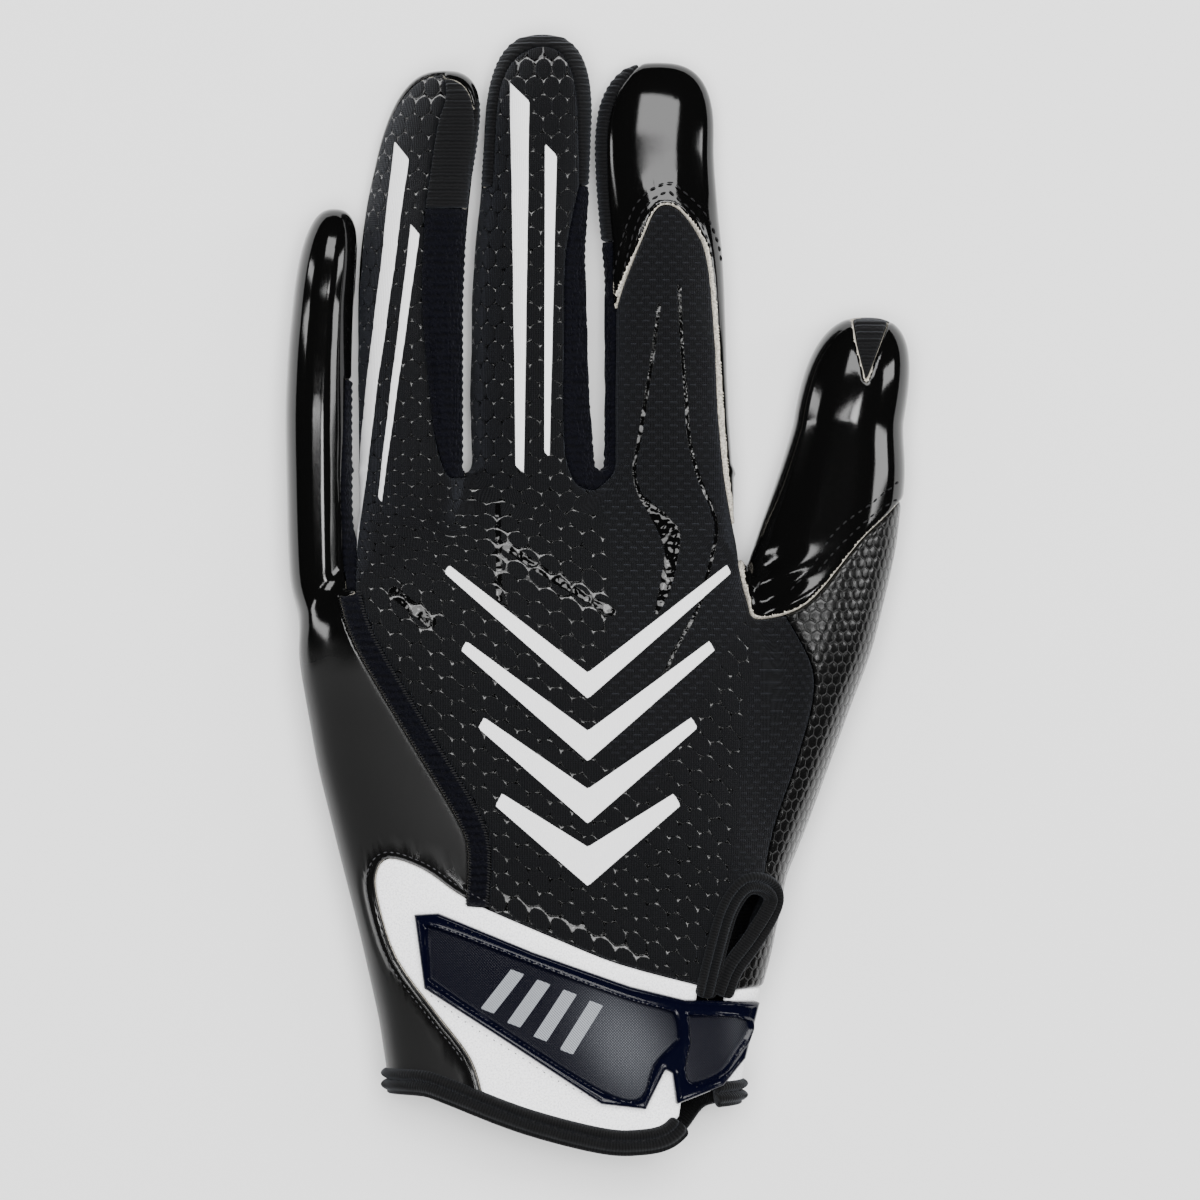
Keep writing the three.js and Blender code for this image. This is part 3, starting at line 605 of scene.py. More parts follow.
class Paint:
    """A node material. Its calls take wires or plain numbers and give wires."""

    def __init__(self, name, **values):
        self.material = bpy.data.materials.new(name)
        self.material.use_nodes = True
        self.tree = self.material.node_tree
        self.shader = self.tree.nodes["Principled BSDF"]
        for key, value in values.items():
            self.set(key.replace("_", " "), value)

    def feed(self, socket, value):
        if isinstance(value, Wire):
            self.tree.links.new(value.socket, socket)
        else:
            socket.default_value = value

    def node(self, kind, inputs=(), output=0, **settings):
        """Adds a node with its inputs in order or by name, and gives one output."""
        node = self.tree.nodes.new(kind)
        for key, value in settings.items():
            setattr(node, key, value)
        for key, value in inputs.items() if isinstance(inputs, dict) else enumerate(inputs):
            self.feed(node.inputs[key], value)
        return Wire(self, node.outputs[output])

    def math(self, operation, *values):
        return self.node("ShaderNodeMath", values, operation=operation)

    def vector(self, operation, *values):
        output = "Value" if operation == "LENGTH" else "Vector"
        return self.node("ShaderNodeVectorMath", values, output, operation=operation)

    def attribute(self, name, output="Fac"):
        return self.node("ShaderNodeAttribute", output=output, attribute_name=name)

    def place(self):
        """Where a point lies on the glove, in millimetres."""
        return self.vector("MULTIPLY", self.node("ShaderNodeTexCoord", output="Object"), (1 / MM,) * 3)

    def blend(self, share, first, second):
        return self.node("ShaderNodeMix", {0: share, 6: first, 7: second}, 2, data_type="RGBA")

    def set(self, name, value):
        self.feed(self.shader.inputs[name], value)

    def bump(self, height, distance, strength=1.0, after=None):
        inputs = {"Height": height, "Distance": distance * MM, "Strength": strength}
        return self.node("ShaderNodeBump", {**inputs, **({"Normal": after} if after else {})})

    def finish(self, **values):
        for key, value in values.items():
            self.set(key.replace("_", " "), value)
        return self.material


def grey(value):
    return (value, value, value, 1)


def scaled(colour, times=1.0):
    return (*(times * c for c in colour), 1)


def weave_of(points, normals):
    """Where the cloth's pattern lies at each point, followed down the sides, in millimetres."""
    top = np.full(len(points), PALM_HEIGHT)
    for digit, zone in FINGER_ZONES:
        top += (SIZE[digit][2] - top) * ramp(inside(points, zone), -4, 4)
    drop = 0.6 * np.clip(top - points[:, 2], 0, None)
    lean = normals[:, 0] / np.sqrt(normals[:, 0] ** 2 + normals[:, 1] ** 2 + 0.04)
    return np.stack([points[:, 0] + drop * lean, points[:, 1], np.zeros(len(points))], axis=1)


# The film is glossy over the fingers and satin over the heel of the hand
GLOSS_EDGE = 107.5 + SHIFT[1]


def film_paint(name, satin=True):
    """Silicone film, glossy over the fingers and satin over the heel of the hand and outside the hem."""
    paint = Paint(name, Base_Color=grey(0.002), Specular_IOR_Level=0.5)
    where = paint.place()
    grain, rough = where.noise(6.0, 3.0), 0.055
    if satin:
        y = where.parts()[1] + where.noise(0.16, 1.0) * 6.0
        share = y.soft(GLOSS_EDGE + 7, GLOSS_EDGE - 3) * (paint.attribute("hem") * -0.75 + 1.0)
        rough = share * 0.36 + rough
        paint.set("Base Color", paint.blend(share, grey(0.002), grey(0.0085)))
    return paint.finish(Roughness=grain * 0.03 + rough, Normal=paint.bump(grain, 0.02, 0.2))


def cloth_paint(name, colour, height_of, distance, rough=0.85, sheen=0.08, tint=(0.6, 0.65, 0.75)):
    paint = Paint(name, Base_Color=scaled(colour), Roughness=rough, Sheen_Weight=sheen, Sheen_Roughness=0.45,
                  Sheen_Tint=scaled(tint), Specular_IOR_Level=0.25)
    height = height_of(paint.attribute("weave", "Vector"))
    fuzz = paint.place().noise(3.2, 4.0, 0.6)
    # Painted shade: the cloth is darker where its relief is low, in the hollows between ribs and loops, with a tone
    # that varies at random
    shade = (fuzz * 0.5 + height * 0.6).soft(0.1, 0.9, 0.55, 1.5)
    return paint.finish(Base_Color=paint.blend(shade * 0.5, grey(0), scaled(colour, 2)),
                        Normal=paint.bump(fuzz * 0.35 + height, distance, 0.8))


def ribs(period, across=1, wobble=0.25):
    def height(weave):
        axes = weave.parts()
        value = weave.noise(0.5, 1.0) * (wobble * period * 2) + axes[across]
        return axes[1 - across].wave(period * 0.55) * 0.18 + value.wave(period)
    return height


def loops(period):
    def height(weave):
        inputs = {"Vector": weave, "Scale": 1 / period}
        cells = weave.paint.node("ShaderNodeTexVoronoi", inputs, "Distance", feature="F1")
        return weave.parts()[1].wave(1.7) * 0.8 + cells.soft(0.75, 0.1)
    return height


def smooth_cloth(weave):
    return weave.noise(2.4, 3.0)


# Pads of the printed knit: their spacing across, the spacing of their rows, and how they are turned on the hand
PAD_PITCH, PAD_ROW, PAD_TURN = 4.7, 4.08, math.radians(-24)
PAD_RADIUS = 2.43
# The pads are a little flat, so that the openings between them join in jagged rows
PAD_FLAT = 1.05
# Tuck marks of the plain knit: their spacing across and the spacing of their rows
DASH_PITCH, DASH_ROW = 3.1, 1.25
FLEX_HALF = 0.5
KNIT = (0.0029, 0.0031, 0.0038)


def pad_distance(cells):
    """Distance in millimetres to the middle of the nearest pad, from lattice places."""
    best = None
    for shift in (0.5, 0.0):
        part = (cells[:, :2] + shift) % 1.0 - 0.5
        d = np.hypot(part[:, 0] * PAD_PITCH, part[:, 1] * 2 * PAD_ROW * PAD_FLAT)
        best = d if best is None else np.minimum(best, d)
    return best


def knit_paint(name):
    """Ribbed knit with pads, glossy openings between them, inlaid lines, tuck marks, the white design, painted shade
    between the ribs and painted glints in the openings.
    """
    paint = Paint(name, Base_Color=scaled(KNIT), Sheen_Weight=0.06, Sheen_Roughness=0.4,
                  Sheen_Tint=(0.55, 0.6, 0.75, 1), Specular_IOR_Level=0.4)
    weave, cells = paint.attribute("weave", "Vector"), paint.attribute("pads", "Vector")
    across, along, _ = weave.parts()
    radius = cells.parts()[2]
    flat = paint.vector("MULTIPLY", cells, (1, 1, 0))
    (near, above), (d, rise) = ((paint.vector("LENGTH", part), part.parts()[1]) for part in (
        flat.offset(shift, (PAD_PITCH, 2 * PAD_ROW * PAD_FLAT, 0)) for shift in (0.5, 0.0)))
    above = above + (near - d).soft(-0.01, 0.01) * (rise - above)
    rag = weave.noise(1.6, 2.0)
    depth = rag * 0.6 + near.least(d) - (radius + 0.3)
    inlay = (rag * 0.5 + paint.attribute("lines")).soft(0.3, 0.1)
    gap = depth.soft(-0.06, 0.05).most(inlay)
    stripe = paint.attribute("stripe").soft(-0.07, 0.07)
    yarn = along.wave(0.46) * 0.3 + (rag * 0.12 + across).wave(0.55)
    fuzz = paint.place().noise(2.6, 4.0, 0.65)
    row = paint.math("FLOOR", paint.math("DIVIDE", along, DASH_ROW))
    dash = (row * (DASH_PITCH * 0.5) + across).wave(DASH_PITCH).soft(0.35, 0.6) * along.wave(DASH_ROW).soft(0.55, 0.9)
    dash = dash * (paint.attribute("plain") * (1.0 - gap.most(stripe)))
    # Painted shade: the knit is darker in the hollows between its ribs, its tone varies at random, and the tuck marks
    # are lighter
    shade = dash * 0.9 + (yarn * 0.5 + (fuzz * 0.9 + 0.1))
    body = paint.blend(gap, paint.blend(shade * 0.5, grey(0), scaled(KNIT, 2.2)), grey(0.0015))
    # Painted glints: light grey marks at the lower edge of some openings, and larger light patches on the glossy bands
    # and inlaid lines, stand in for reflections of the lamps in the film
    wetter = radius.soft(PAD_RADIUS, PAD_RADIUS - 0.3).most(inlay)
    rim = depth.soft(0.07, 0.13) * above.soft(0.3, 0.8)
    painted_glint = rim * (wetter * 0.1 + weave.noise(0.5, 1.0)).soft(0.44, 0.54)
    painted_highlight_patch = weave.noise(0.28, 1.5, 0.6).soft(0.59, 0.63, 0.0, 0.7)
    body = paint.blend(painted_glint.most(wetter * painted_highlight_patch) * gap, body, grey(0.15))
    open_gap = gap * (1.0 - stripe)
    edge = depth.soft(0.3, -0.3) * (1.0 - inlay) * (1.0 - stripe)
    wet = weave.noise(0.8, 0.0) * 1.2 + depth.soft(-0.02, 0.36) * open_gap
    relief = paint.bump(yarn * (1.0 - gap.most(stripe * 0.75)), 0.2, 0.8)
    relief = paint.bump(edge, 0.2, 0.75, relief)
    relief = paint.bump(wet * open_gap, 0.22, 1.0, relief)
    return paint.finish(Base_Color=paint.blend(stripe, body, (0.80, 0.80, 0.81, 1)),
                        Roughness=stripe * -0.3 + (open_gap * -0.79 + 0.86), Normal=paint.bump(dash, 0.3, 0.9, relief))


HEX_PITCH = 2.6


def hex_paint(name):
    """Embossed film: smooth hexagons between thin lines."""
    paint = Paint(name, Base_Color=grey(0.003), Specular_IOR_Level=0.5)
    cells = paint.vector("MULTIPLY", paint.attribute("cells", "Vector"), (1 / HEX_PITCH, 1 / HEX_PITCH / 3 ** 0.5, 0))
    best = None
    for shift in (0.0, 0.5):
        a, b, _ = paint.vector("ABSOLUTE", cells.offset(shift, (1, 3 ** 0.5, 0))).parts()
        d = a.most(a * 0.5 + b * 0.866)
        best = d if best is None else best.least(d)
    line = best.soft(0.435, 0.485)
    grain = paint.place().noise(5.0, 3.0)
    dome = paint.bump(best.soft(0.5, 0.2), 0.06, 0.8)
    return paint.finish(Base_Color=paint.blend(line, grey(0.003), grey(0.012)),
                        Roughness=line * 0.3 + (grain * 0.06 + 0.2), Normal=paint.bump(line, 0.09, 0.8, dome))


def strap_paint(name):
    """Moulded navy strap: satin windows with a fine hatch, a soft silver fade and silver marks."""
    paint = Paint(name, Specular_IOR_Level=0.35)
    x, y, _ = paint.attribute("weave", "Vector").parts()
    hatch_a = (x + y).wave(0.62)
    hatch = hatch_a * (x - y).wave(0.62)
    window = paint.attribute("window").soft(0.0, 0.3)
    grain = paint.place().noise(5.0, 3.0)
    plain = paint.blend(window, (0.0012, 0.0015, 0.0062, 1), (0.0012, 0.0014, 0.0052, 1))
    mark = paint.attribute("mark").soft(-0.06, 0.06) * hatch_a.soft(0.2, 0.6, 0.45, 1.0)
    silver_share = paint.attribute("glow").soft(0.0, 1.0) * window * hatch.soft(0.1, 0.7, 0.25, 1.0)
    return paint.finish(Base_Color=paint.blend((silver_share * 0.42).most(mark), plain, (0.27, 0.285, 0.31, 1)),
                        Roughness=grain * 0.06 + (window * 0.25 + 0.1),
                        Normal=paint.bump(grain, 0.03, 0.3, paint.bump(hatch * window, 0.12, 0.6)))


def raw_paint(name, colour):
    paint = Paint(name, Base_Color=scaled(colour), Roughness=0.8, Specular_IOR_Level=0.2)
    spots = paint.place().noise(2.2, 4.0, 0.7)
    return paint.finish(Base_Color=paint.blend(spots.soft(0.35, 0.65), scaled(colour, 0.35), scaled(colour)),
                        Normal=paint.bump(spots, 0.15, 0.7))


NAVY, BLACK, WHITE = (0.0009, 0.0010, 0.0025), (0.0036, 0.0036, 0.0039), (0.84, 0.84, 0.855)
paints = {
    "film": film_paint("film"),
    "film_gloss": film_paint("film_gloss", satin=False),
    "lining": cloth_paint("lining", (0.004, 0.004, 0.0045), ribs(0.8), 0.06),
    "hexagons": hex_paint("hexagons"),
    "raw": raw_paint("raw_edge", (0.62, 0.58, 0.50)),
    "knit": knit_paint("knit"),
    "rib": cloth_paint("rib", BLACK, ribs(0.75), 0.2),
    "terry": cloth_paint("terry", NAVY, loops(0.75), 0.35, sheen=0.03, tint=(0.5, 0.52, 0.7)),
    "binding": cloth_paint("binding", (0.0038, 0.0038, 0.004), ribs(0.62, 0, 0.1), 0.12),
    "neoprene": cloth_paint("neoprene", WHITE, smooth_cloth, 0.05, 0.75, 0.1, (1, 1, 1)),
    "strap": strap_paint("strap"),
    "thread": raw_paint("thread", (0.02, 0.02, 0.021)),
    "thread_grey": raw_paint("thread_grey", (0.07, 0.07, 0.075)),
}


def pixel(x, y):
    """A place in plan from the photograph's frame of 1200 points."""
    return ((x - 594) * 0.215, (1150 - y) * 0.215)


def pixels(*places):
    return np.array([pixel(*p) for p in places])


all_fields = region_fields(base_points)


# Rows of points along a panel's border, and how far from it the thinning starts
BORDER_ROWS, THIN_FROM = (0.22, 0.6), 1.2


def skin_part(field, read, detail):
    """The cut skin of one piece, with loops of points along its border."""
    chosen = (field[base_faces] > -2.5 * VOXEL).any(axis=1)
    points, faces = compact(base_points, base_faces[chosen])
    for _ in range(detail):
        values = read(points)
        points, faces = compact(points, faces[(values[faces] > -1.5 * VOXEL).any(axis=1)])
        points, faces = refined(points, faces)
    points, faces = cut_mesh(points, faces, read(points))
    points, faces = compact(points, faces)
    for level in BORDER_ROWS:
        points, faces = cut_mesh(points, faces, read(points) - level, keep_all=True)
    return weld(points, faces)


def thinned(points, faces, distances, ratio):
    """Fewer triangles away from the border."""
    mesh = bpy.data.meshes.new("thin")
    mesh.from_pydata(points.tolist(), [], faces.tolist())
    piece = linked("thin", mesh)
    group = piece.vertex_groups.new(name="away")
    for i in np.nonzero(distances > THIN_FROM)[0].tolist():
        group.add([i], 1.0, "REPLACE")
    thin = piece.modifiers.new("thin", "DECIMATE")
    thin.ratio, thin.vertex_group, thin.use_collapse_triangulate = ratio, "away", True
    bpy.context.view_layer.objects.active = piece
    bpy.ops.object.modifier_apply(modifier="thin")
    mesh = piece.data
    points = np.empty(len(mesh.vertices) * 3)
    mesh.vertices.foreach_get("co", points)
    mesh.calc_loop_triangles()
    faces = np.empty(len(mesh.loop_triangles) * 3, np.int32)
    mesh.loop_triangles.foreach_get("vertices", faces)
    bpy.data.objects.remove(piece)
    return compact(points.reshape(-1, 3), faces.reshape(-1, 3).astype(int))


def panel(name, material, nodes, detail=0, lift=0.0, roll=0.55, relief=None, extras=None, thin=None,
          rim=None, wall=WALL, fields=None, raw=0.0):
    """One panel of the glove: its skin rolled down at the seams, its relief, and its thickness."""
    read = fields or (lambda p: region_fields(p)[name] - GAP)
    points, faces = skin_part(all_fields[name] if fields is None else fields(base_points), read, detail)
    distance = np.clip(read(points), 0, None)
    if thin:
        points, faces = thinned(points, faces, distance, thin)
        distance = np.clip(read(points), 0, None)
    normals = form.normals(points)
    height = lift - roll * (1 - np.sqrt(1 - (1 - np.clip(distance, 0, 1)) ** 2))
    if relief:
        height = height + relief(points, normals, distance)
    outer = points + normals * height[:, None]
    inner = points - normals * wall
    for side in (outer, inner):
        side[:, 2] += cap_fall(points, normals)
    outer[:, 2] = np.maximum(outer[:, 2], 0.0)
    inner[:, 2] = np.maximum(inner[:, 2], 0.2)
    solid_points, solid_faces, kinds = closed(outer, inner, faces)
    if raw:
        middle = points[faces].mean(axis=1)
        near = np.minimum(np.minimum(away(middle, index_cap_seam[4:-4]), away(middle, thumb_seam)),
                          away(middle, thumb_gusset_edge))
        edge = (distance[faces].mean(axis=1) < raw) & (near < 2.0)
        kinds[: len(faces)][edge] = 2
    attributes = {"weave": weave_of(points, normals), **(extras(points, normals, distance) if extras else {})}
    attributes = {k: np.concatenate([v, v]) for k, v in attributes.items()}
    make(name, nodes, solid_points, solid_faces, [material, "lining", rim or material], kinds, attributes)


rough_waves = [(rng.uniform(0, 2 * math.pi), rng.uniform(0, 2 * math.pi)) for _ in range(9)]


def ripples(points, length):
    """Slow uneven swells between minus one and one, as long as asked."""
    total = np.zeros(len(points))
    for n, (turn, phase) in enumerate(rough_waves):
        k = 2 * math.pi / (length * (0.7 + 0.09 * n))
        way = math.cos(turn) * points[:, 0] + math.sin(turn) * points[:, 1] + 0.6 * math.cos(3 * turn) * points[:, 2]
        total += np.sin(k * way + phase)
    return total / len(rough_waves) ** 0.5


def swells(points, normals, distance):
    return 0.12 * ripples(points, 21.0) + 0.03 * ripples(points + 40, 8.0)


def calm(points, normals, distance):
    return 0.07 * ripples(points, 30.0)


FLEX_LINES = [curve(pixels(*line)) for line in (
    [(659, 305), (652, 359), (641, 429), (634, 470), (640, 495), (652, 515), (664, 541), (666, 561), (656, 613)],
    [(640, 495), (667, 518), (678, 533), (676, 556), (669, 587), (657, 612)],
    [(679, 286), (682, 344), (686, 395), (689, 437), (697, 472), (713, 512), (716, 535), (707, 576), (698, 607),
     (676, 647), (664, 674), (650, 706)])]
FLEX_LENS = pixels((640, 495), (652, 515), (664, 541), (666, 561), (659, 591), (656, 613), (660, 610), (670, 587),
                   (677, 556), (679, 533), (667, 516))
PLAIN_KNIT = [pixels(*shape) for shape in (
    [(598, 60), (598, 480), (614, 560), (604, 745), (648, 792), (748, 605), (760, 480), (760, 60)],
    [(752, 600), (752, 660), (733, 860), (733, 960), (900, 960), (900, 600)])]
# Glossy bands across the knit: line, width, and half the width of the inlaid line at its core
GLOSSY_BANDS = [(pixels(*line), width, core) for line, width, core in (
    ([(505, 545), (560, 582), (612, 612)], 5.0, 1.0), ([(395, 592), (432, 622)], 4.0, 1.3),
    ([(498, 505), (500, 600)], 2.5, 0.7), ([(505, 60), (575, 60)], 6.0, 0), ([(425, 95), (470, 85)], 5.0, 0),
    ([(440, 880), (520, 905), (640, 950)], 3.0, 0))]


def bar(start, end, wide, narrow):
    """A straight bar that tapers from one end to the other, slanted at its ends."""
    a, b = pixels(start, end)
    ahead = (b - a) / np.linalg.norm(b - a)
    corner = (np.array([-ahead[1], ahead[0]]) + ahead) / 2
    return np.array([a + corner * wide, b + corner * narrow, b - corner * narrow, a - corner * wide])


def arrowhead(tip, half, rise, wide):
    """A chevron that points to the wrist, with arms that thin out to their ends."""
    x, y = tip
    return pixels((x - half, y - rise), (x, y), (x + half, y - rise), (x + half - 0.25 * wide, y - rise - 0.45 * wide),
                  (x, y - 1.45 * wide), (x - half + 0.25 * wide, y - rise - 0.45 * wide))


# A generic design in white: bars along two fingers and nested arrowheads on the hand
DESIGN = [bar((352, 548), (402, 150), 1.8, 3.6), bar((380, 500), (416, 230), 1.0, 2.2),
          bar((520, 470), (520, 92), 1.8, 4.2), bar((547, 455), (551, 150), 1.2, 2.6)]
DESIGN += [arrowhead((588, 884 - 62 * n), 92 + 17 * n, 80 + 15 * n, 27 - 3 * n) for n in range(4)]


def knit_attributes(points, normals, distance):
    weave = weave_of(points, normals)
    on_hand = 1 - ramp(points[:, 1], 118.0, 150.0)
    u, v = weave[:, 0], weave[:, 1]
    slant = v + math.tan(-PAD_TURN) * u * on_hand
    plain = ramp(most_inside(points, PLAIN_KNIT), -1.0, 1.0)
    radius, lines = np.full(len(points), PAD_RADIUS), np.full(len(points), FAR_OUT)
    for line, width, core in GLOSSY_BANDS:
        apart = away(points, line)
        radius -= 0.3 * (1 - ramp(apart, 0.2 * width, width))
        if core:
            lines = np.minimum(lines, apart - core)
    radius = np.maximum(radius, PAD_RADIUS - 0.7) + 3.0 * plain
    for line in FLEX_LINES:
        lines = np.minimum(lines, away(points, line) - FLEX_HALF)
    lines = np.minimum(lines, -inside(points, FLEX_LENS))
    top = normals[:, 2] > 0.05
    return {"pads": np.stack([u / PAD_PITCH, slant / (2 * PAD_ROW), radius], axis=1), "plain": plain * top,
            "lines": np.where(top, lines, FAR_OUT), "stripe": np.where(top, most_inside(points, DESIGN), -FAR_OUT)}


def knit_relief(points, normals, distance):
    looks = knit_attributes(points, normals, distance)
    depth = pad_distance(looks["pads"]) - looks["pads"][:, 2]
    line = 1 - ramp(looks["lines"], -0.3, 0.35)
    stripe = ramp(looks["stripe"], -0.25, 0.25)
    return (swells(points, normals, distance) - 0.22 * ramp(depth, -0.25, 0.3) * (1 - stripe)
            - 0.22 * line + 0.08 * stripe)


palm_nodes = ["palm_panel", "palm_panel_pinky", "palm_panel_ring", "palm_panel_middle", "palm_panel_index"]
back_nodes = ["back_panel", "back_panel_ring", "back_panel_middle", "back_panel_index"]
cap_line = index_cap_seam[4:]
CAP_FALL = 2.8


def palm_relief(points, normals, distance):
    """The cap over the index finger lies on top of the knit, and the hem by the cuff is folded."""
    cap = 1 - ramp(away(points, cap_line), 1.0, 6.0)
    hem = away(points, hem_seam)
    fold = 0.5 * np.exp(-((hem - 1.2) / 0.9) ** 2) - 0.25 * np.exp(-((hem - 2.75) / 0.45) ** 2)
    return calm(points, normals, distance) + (0.45 * cap + fold) * (normals[:, 2] > 0)


def hem_attribute(points, normals, distance):
    return {"hem": 1 - ramp(away(points, hem_seam), 2.3, 2.8)}


def cap_fall(points, normals):
    """How much lower the index finger's tip lies than its form, so that its cap faces a little forwards."""
    along = np.clip((points[:, 1] - cap_line[:, 1].max() + 2.0) / 30.0, 0, 1.15)
    own = ramp(inside(points, FINGER_ZONES[3][1]), -0.5, 0.5)
    return -CAP_FALL * along * own * np.clip(points[:, 2] / SIZE["index"][2], 0, 1)


def crotch_folds(points, normals, distance):
    """Soft folds where the thumb leaves the hand."""
    x, y = (points[:, :2] - pixel(772, 588)).T
    along, across = 0.75 * x + 0.66 * y, -0.66 * x + 0.75 * y
    near = np.exp(-(along / 8.0) ** 2 - (across / 7.0) ** 2)
    return calm(points, normals, distance) + 0.4 * near * np.sin(across * 0.95 + 0.2 * along)


def hex_cells(points, normals, distance):
    """Where the hexagons lie: they follow the hand round its side."""
    return {"cells": np.stack([points[:, 0] - 0.85 * points[:, 2], points[:, 1], np.zeros(len(points))], axis=1)}


def hexagons(points, normals, distance):
    """Domed hexagons between grooves, finer towards the side of the hand."""
    u, v, _ = hex_cells(points, normals, distance)["cells"].T / HEX_PITCH
    best = np.full(len(points), 9.0)
    for shift in (0.0, 0.5):
        a, b = (u + shift) % 1.0 - 0.5, ((v / 3 ** 0.5 + shift) % 1.0 - 0.5) * 3 ** 0.5
        a, b = np.abs(a), np.abs(b)
        best = np.minimum(best, np.maximum(a, 0.5 * a + 0.866 * b))
    return calm(points, normals, distance) + 0.045 * np.clip(1 - (best / 0.5) ** 2, 0, 1)


def cross_ribs(period, height):
    return lambda points, normals, distance: height * (0.5 + 0.5 * np.cos(2 * math.pi * points[:, 1] / period))


panel("palm_panel", "film", palm_nodes, thin=0.42, relief=palm_relief, extras=hem_attribute,
      rim="raw", raw=0.34)
panel("back_panel", "knit", back_nodes, relief=knit_relief, extras=knit_attributes)
panel("thumb_panel", "film_gloss", ["thumb_panel"], lift=0.4, relief=crotch_folds, rim="raw", raw=0.34)
panel("thumb_base_panel", "hexagons", ["thumb_base_panel"], detail=1, thin=0.7,
      relief=hexagons, extras=hex_cells)
for name in ("fourchette_pinky_ring", "fourchette_ring_middle", "fourchette_middle_index"):
    panel(name, "terry", [name], detail=1, thin=0.65, relief=cross_ribs(1.7, 0.3))
for name in ("tip_gusset_ring", "tip_gusset_middle", "tip_gusset_index", "tip_gusset_thumb"):
    panel(name, "rib", [name], detail=1, relief=cross_ribs(1.3, 0.22))
panel("ulnar_seam_tape", "terry", ["ulnar_seam_tape"], detail=1, lift=0.45, roll=0.9,
      relief=cross_ribs(1.5, 0.25))
panel("cuff_band", "neoprene", ["cuff_band"], relief=swells)
panel("cuff_band_thumb_side", "neoprene", ["cuff_band_thumb_side"], relief=swells)


skin_tree = BVHTree.FromPolygons(base_points.tolist(), base_faces.tolist())


def chain(edges):
    """The points of directed edges in order, the longest loop first."""
    after, loops = dict(edges.tolist()), []
    while after:
        at = next(iter(after))
        loop = [at]
        while at in after:
            at = after.pop(at)
            loop.append(at)
        loops.append(np.array(loop[:-1]))
    return sorted(loops, key=len, reverse=True)


def lengths(path):
    return np.concatenate([[0], np.cumsum(np.linalg.norm(np.diff(path, axis=0), axis=1))])


def evenly(path, step):
    """The path again with equal steps."""
    length = lengths(path)
    at = np.linspace(0, length[-1], max(int(round(length[-1] / step)), 3) + 1)
    return np.stack([np.interp(at, length, path[:, i]) for i in range(path.shape[1])], axis=1)


def smoothed(path, times, loop=False):
    for _ in range(times):
        before, after = np.roll(path, 1, axis=0), np.roll(path, -1, axis=0)
        new = path * 0.5 + (before + after) * 0.25
        if not loop:
            new[0], new[-1] = path[0], path[-1]
        path = new
    return path


def on_top(line, lift=0.0):
    """A line in plan laid on the skin as seen from above. Gives its points and their normals."""
    out = []
    for x, y in line:
        hit = skin_tree.ray_cast(Vector((x, y, 60)), Vector((0, 0, -1)))[0]
        out.append(tuple(hit) if hit is not None else (x, y, np.nan))
    out = np.array(out)
    out = out[~np.isnan(out[:, 2])]
    normals = form.normals(out)
    return out + normals * lift, normals


def tube(rows, around):
    """The triangles of a tube made of rings of points."""
    i, j = np.meshgrid(np.arange(rows - 1), np.arange(around), indexing="ij")
    a, b = i * around + j, i * around + (j + 1) % around
    quads = np.stack([a, b, b + around, a + around], axis=-1).reshape(-1, 4)
    return np.concatenate([quads[:, [0, 1, 2]], quads[:, [0, 2, 3]]])


def sweep(name, path, normals, profile, period, depth, slant):
    """A ribbed binding with one profile along a path. The profile is across and above the skin."""
    ahead, length = ahead_of(path), lengths(path)
    side = unit(np.cross(normals, ahead))
    up = np.cross(ahead, side)
    a, b = profile.T
    ends = np.clip(np.minimum(length, length[-1] - length) / 1.2, 0, 1)
    size = (0.35 + 0.65 * np.sqrt(1 - (1 - ends) ** 2))[:, None]
    wave = 1 + depth * np.cos(2 * math.pi * (length[:, None] + slant * a[None, :]) / period)
    middle = (b.max() + b.min()) / 2
    tall, wide = middle + (b[None, :] - middle) * wave * size, a[None, :] * size
    points = path[:, None, :] + side[:, None, :] * wide[..., None] + up[:, None, :] * tall[..., None]
    n, m = len(path), len(profile)
    flat = np.concatenate([points.reshape(-1, 3), points[[0, -1]].mean(axis=1)])
    ring_a = np.arange(m)
    ring_b = (ring_a + 1) % m
    faces = np.concatenate([tube(n, m), np.stack([np.full(m, n * m), ring_b, ring_a], 1),
                            np.stack([np.full(m, n * m + 1), ring_a + (n - 1) * m, ring_b + (n - 1) * m], 1)])
    weave = np.zeros((len(flat), 3))
    weave[:-2, 0], weave[:-2, 1] = np.repeat(length, m), np.tile(lengths(profile), n)
    flat[:, 2] = np.maximum(flat[:, 2], 0.0)
    volume = np.einsum("ij,ij->i", flat[faces[:, 0]], np.cross(flat[faces[:, 1]], flat[faces[:, 2]])).sum()
    make(name, [name], flat, faces[:, ::-1] if volume < 0 else faces, ["binding"],
         attributes={"weave": weave}, angle=80)


def two_rolls(upper, lower, height, inner):
    """Profile of a binding folded over an edge: two rolls with a stitched groove, and the turned side within."""
    t = np.linspace(0, 1, 17)
    out = [(upper + (lower - upper) * s, 0.1 + height * abs(math.sin(2 * math.pi * s)) ** 0.8) for s in t]
    round_edge = [(lower - 0.75 * math.sin(a), 0.3 - (0.3 - inner) * (1 - math.cos(a)) / 2)
                  for a in np.linspace(0, math.pi, 7)[1:-1]]
    return np.array(out + round_edge + [(lower, inner), (upper - 0.6, inner), (upper, 0.0)])


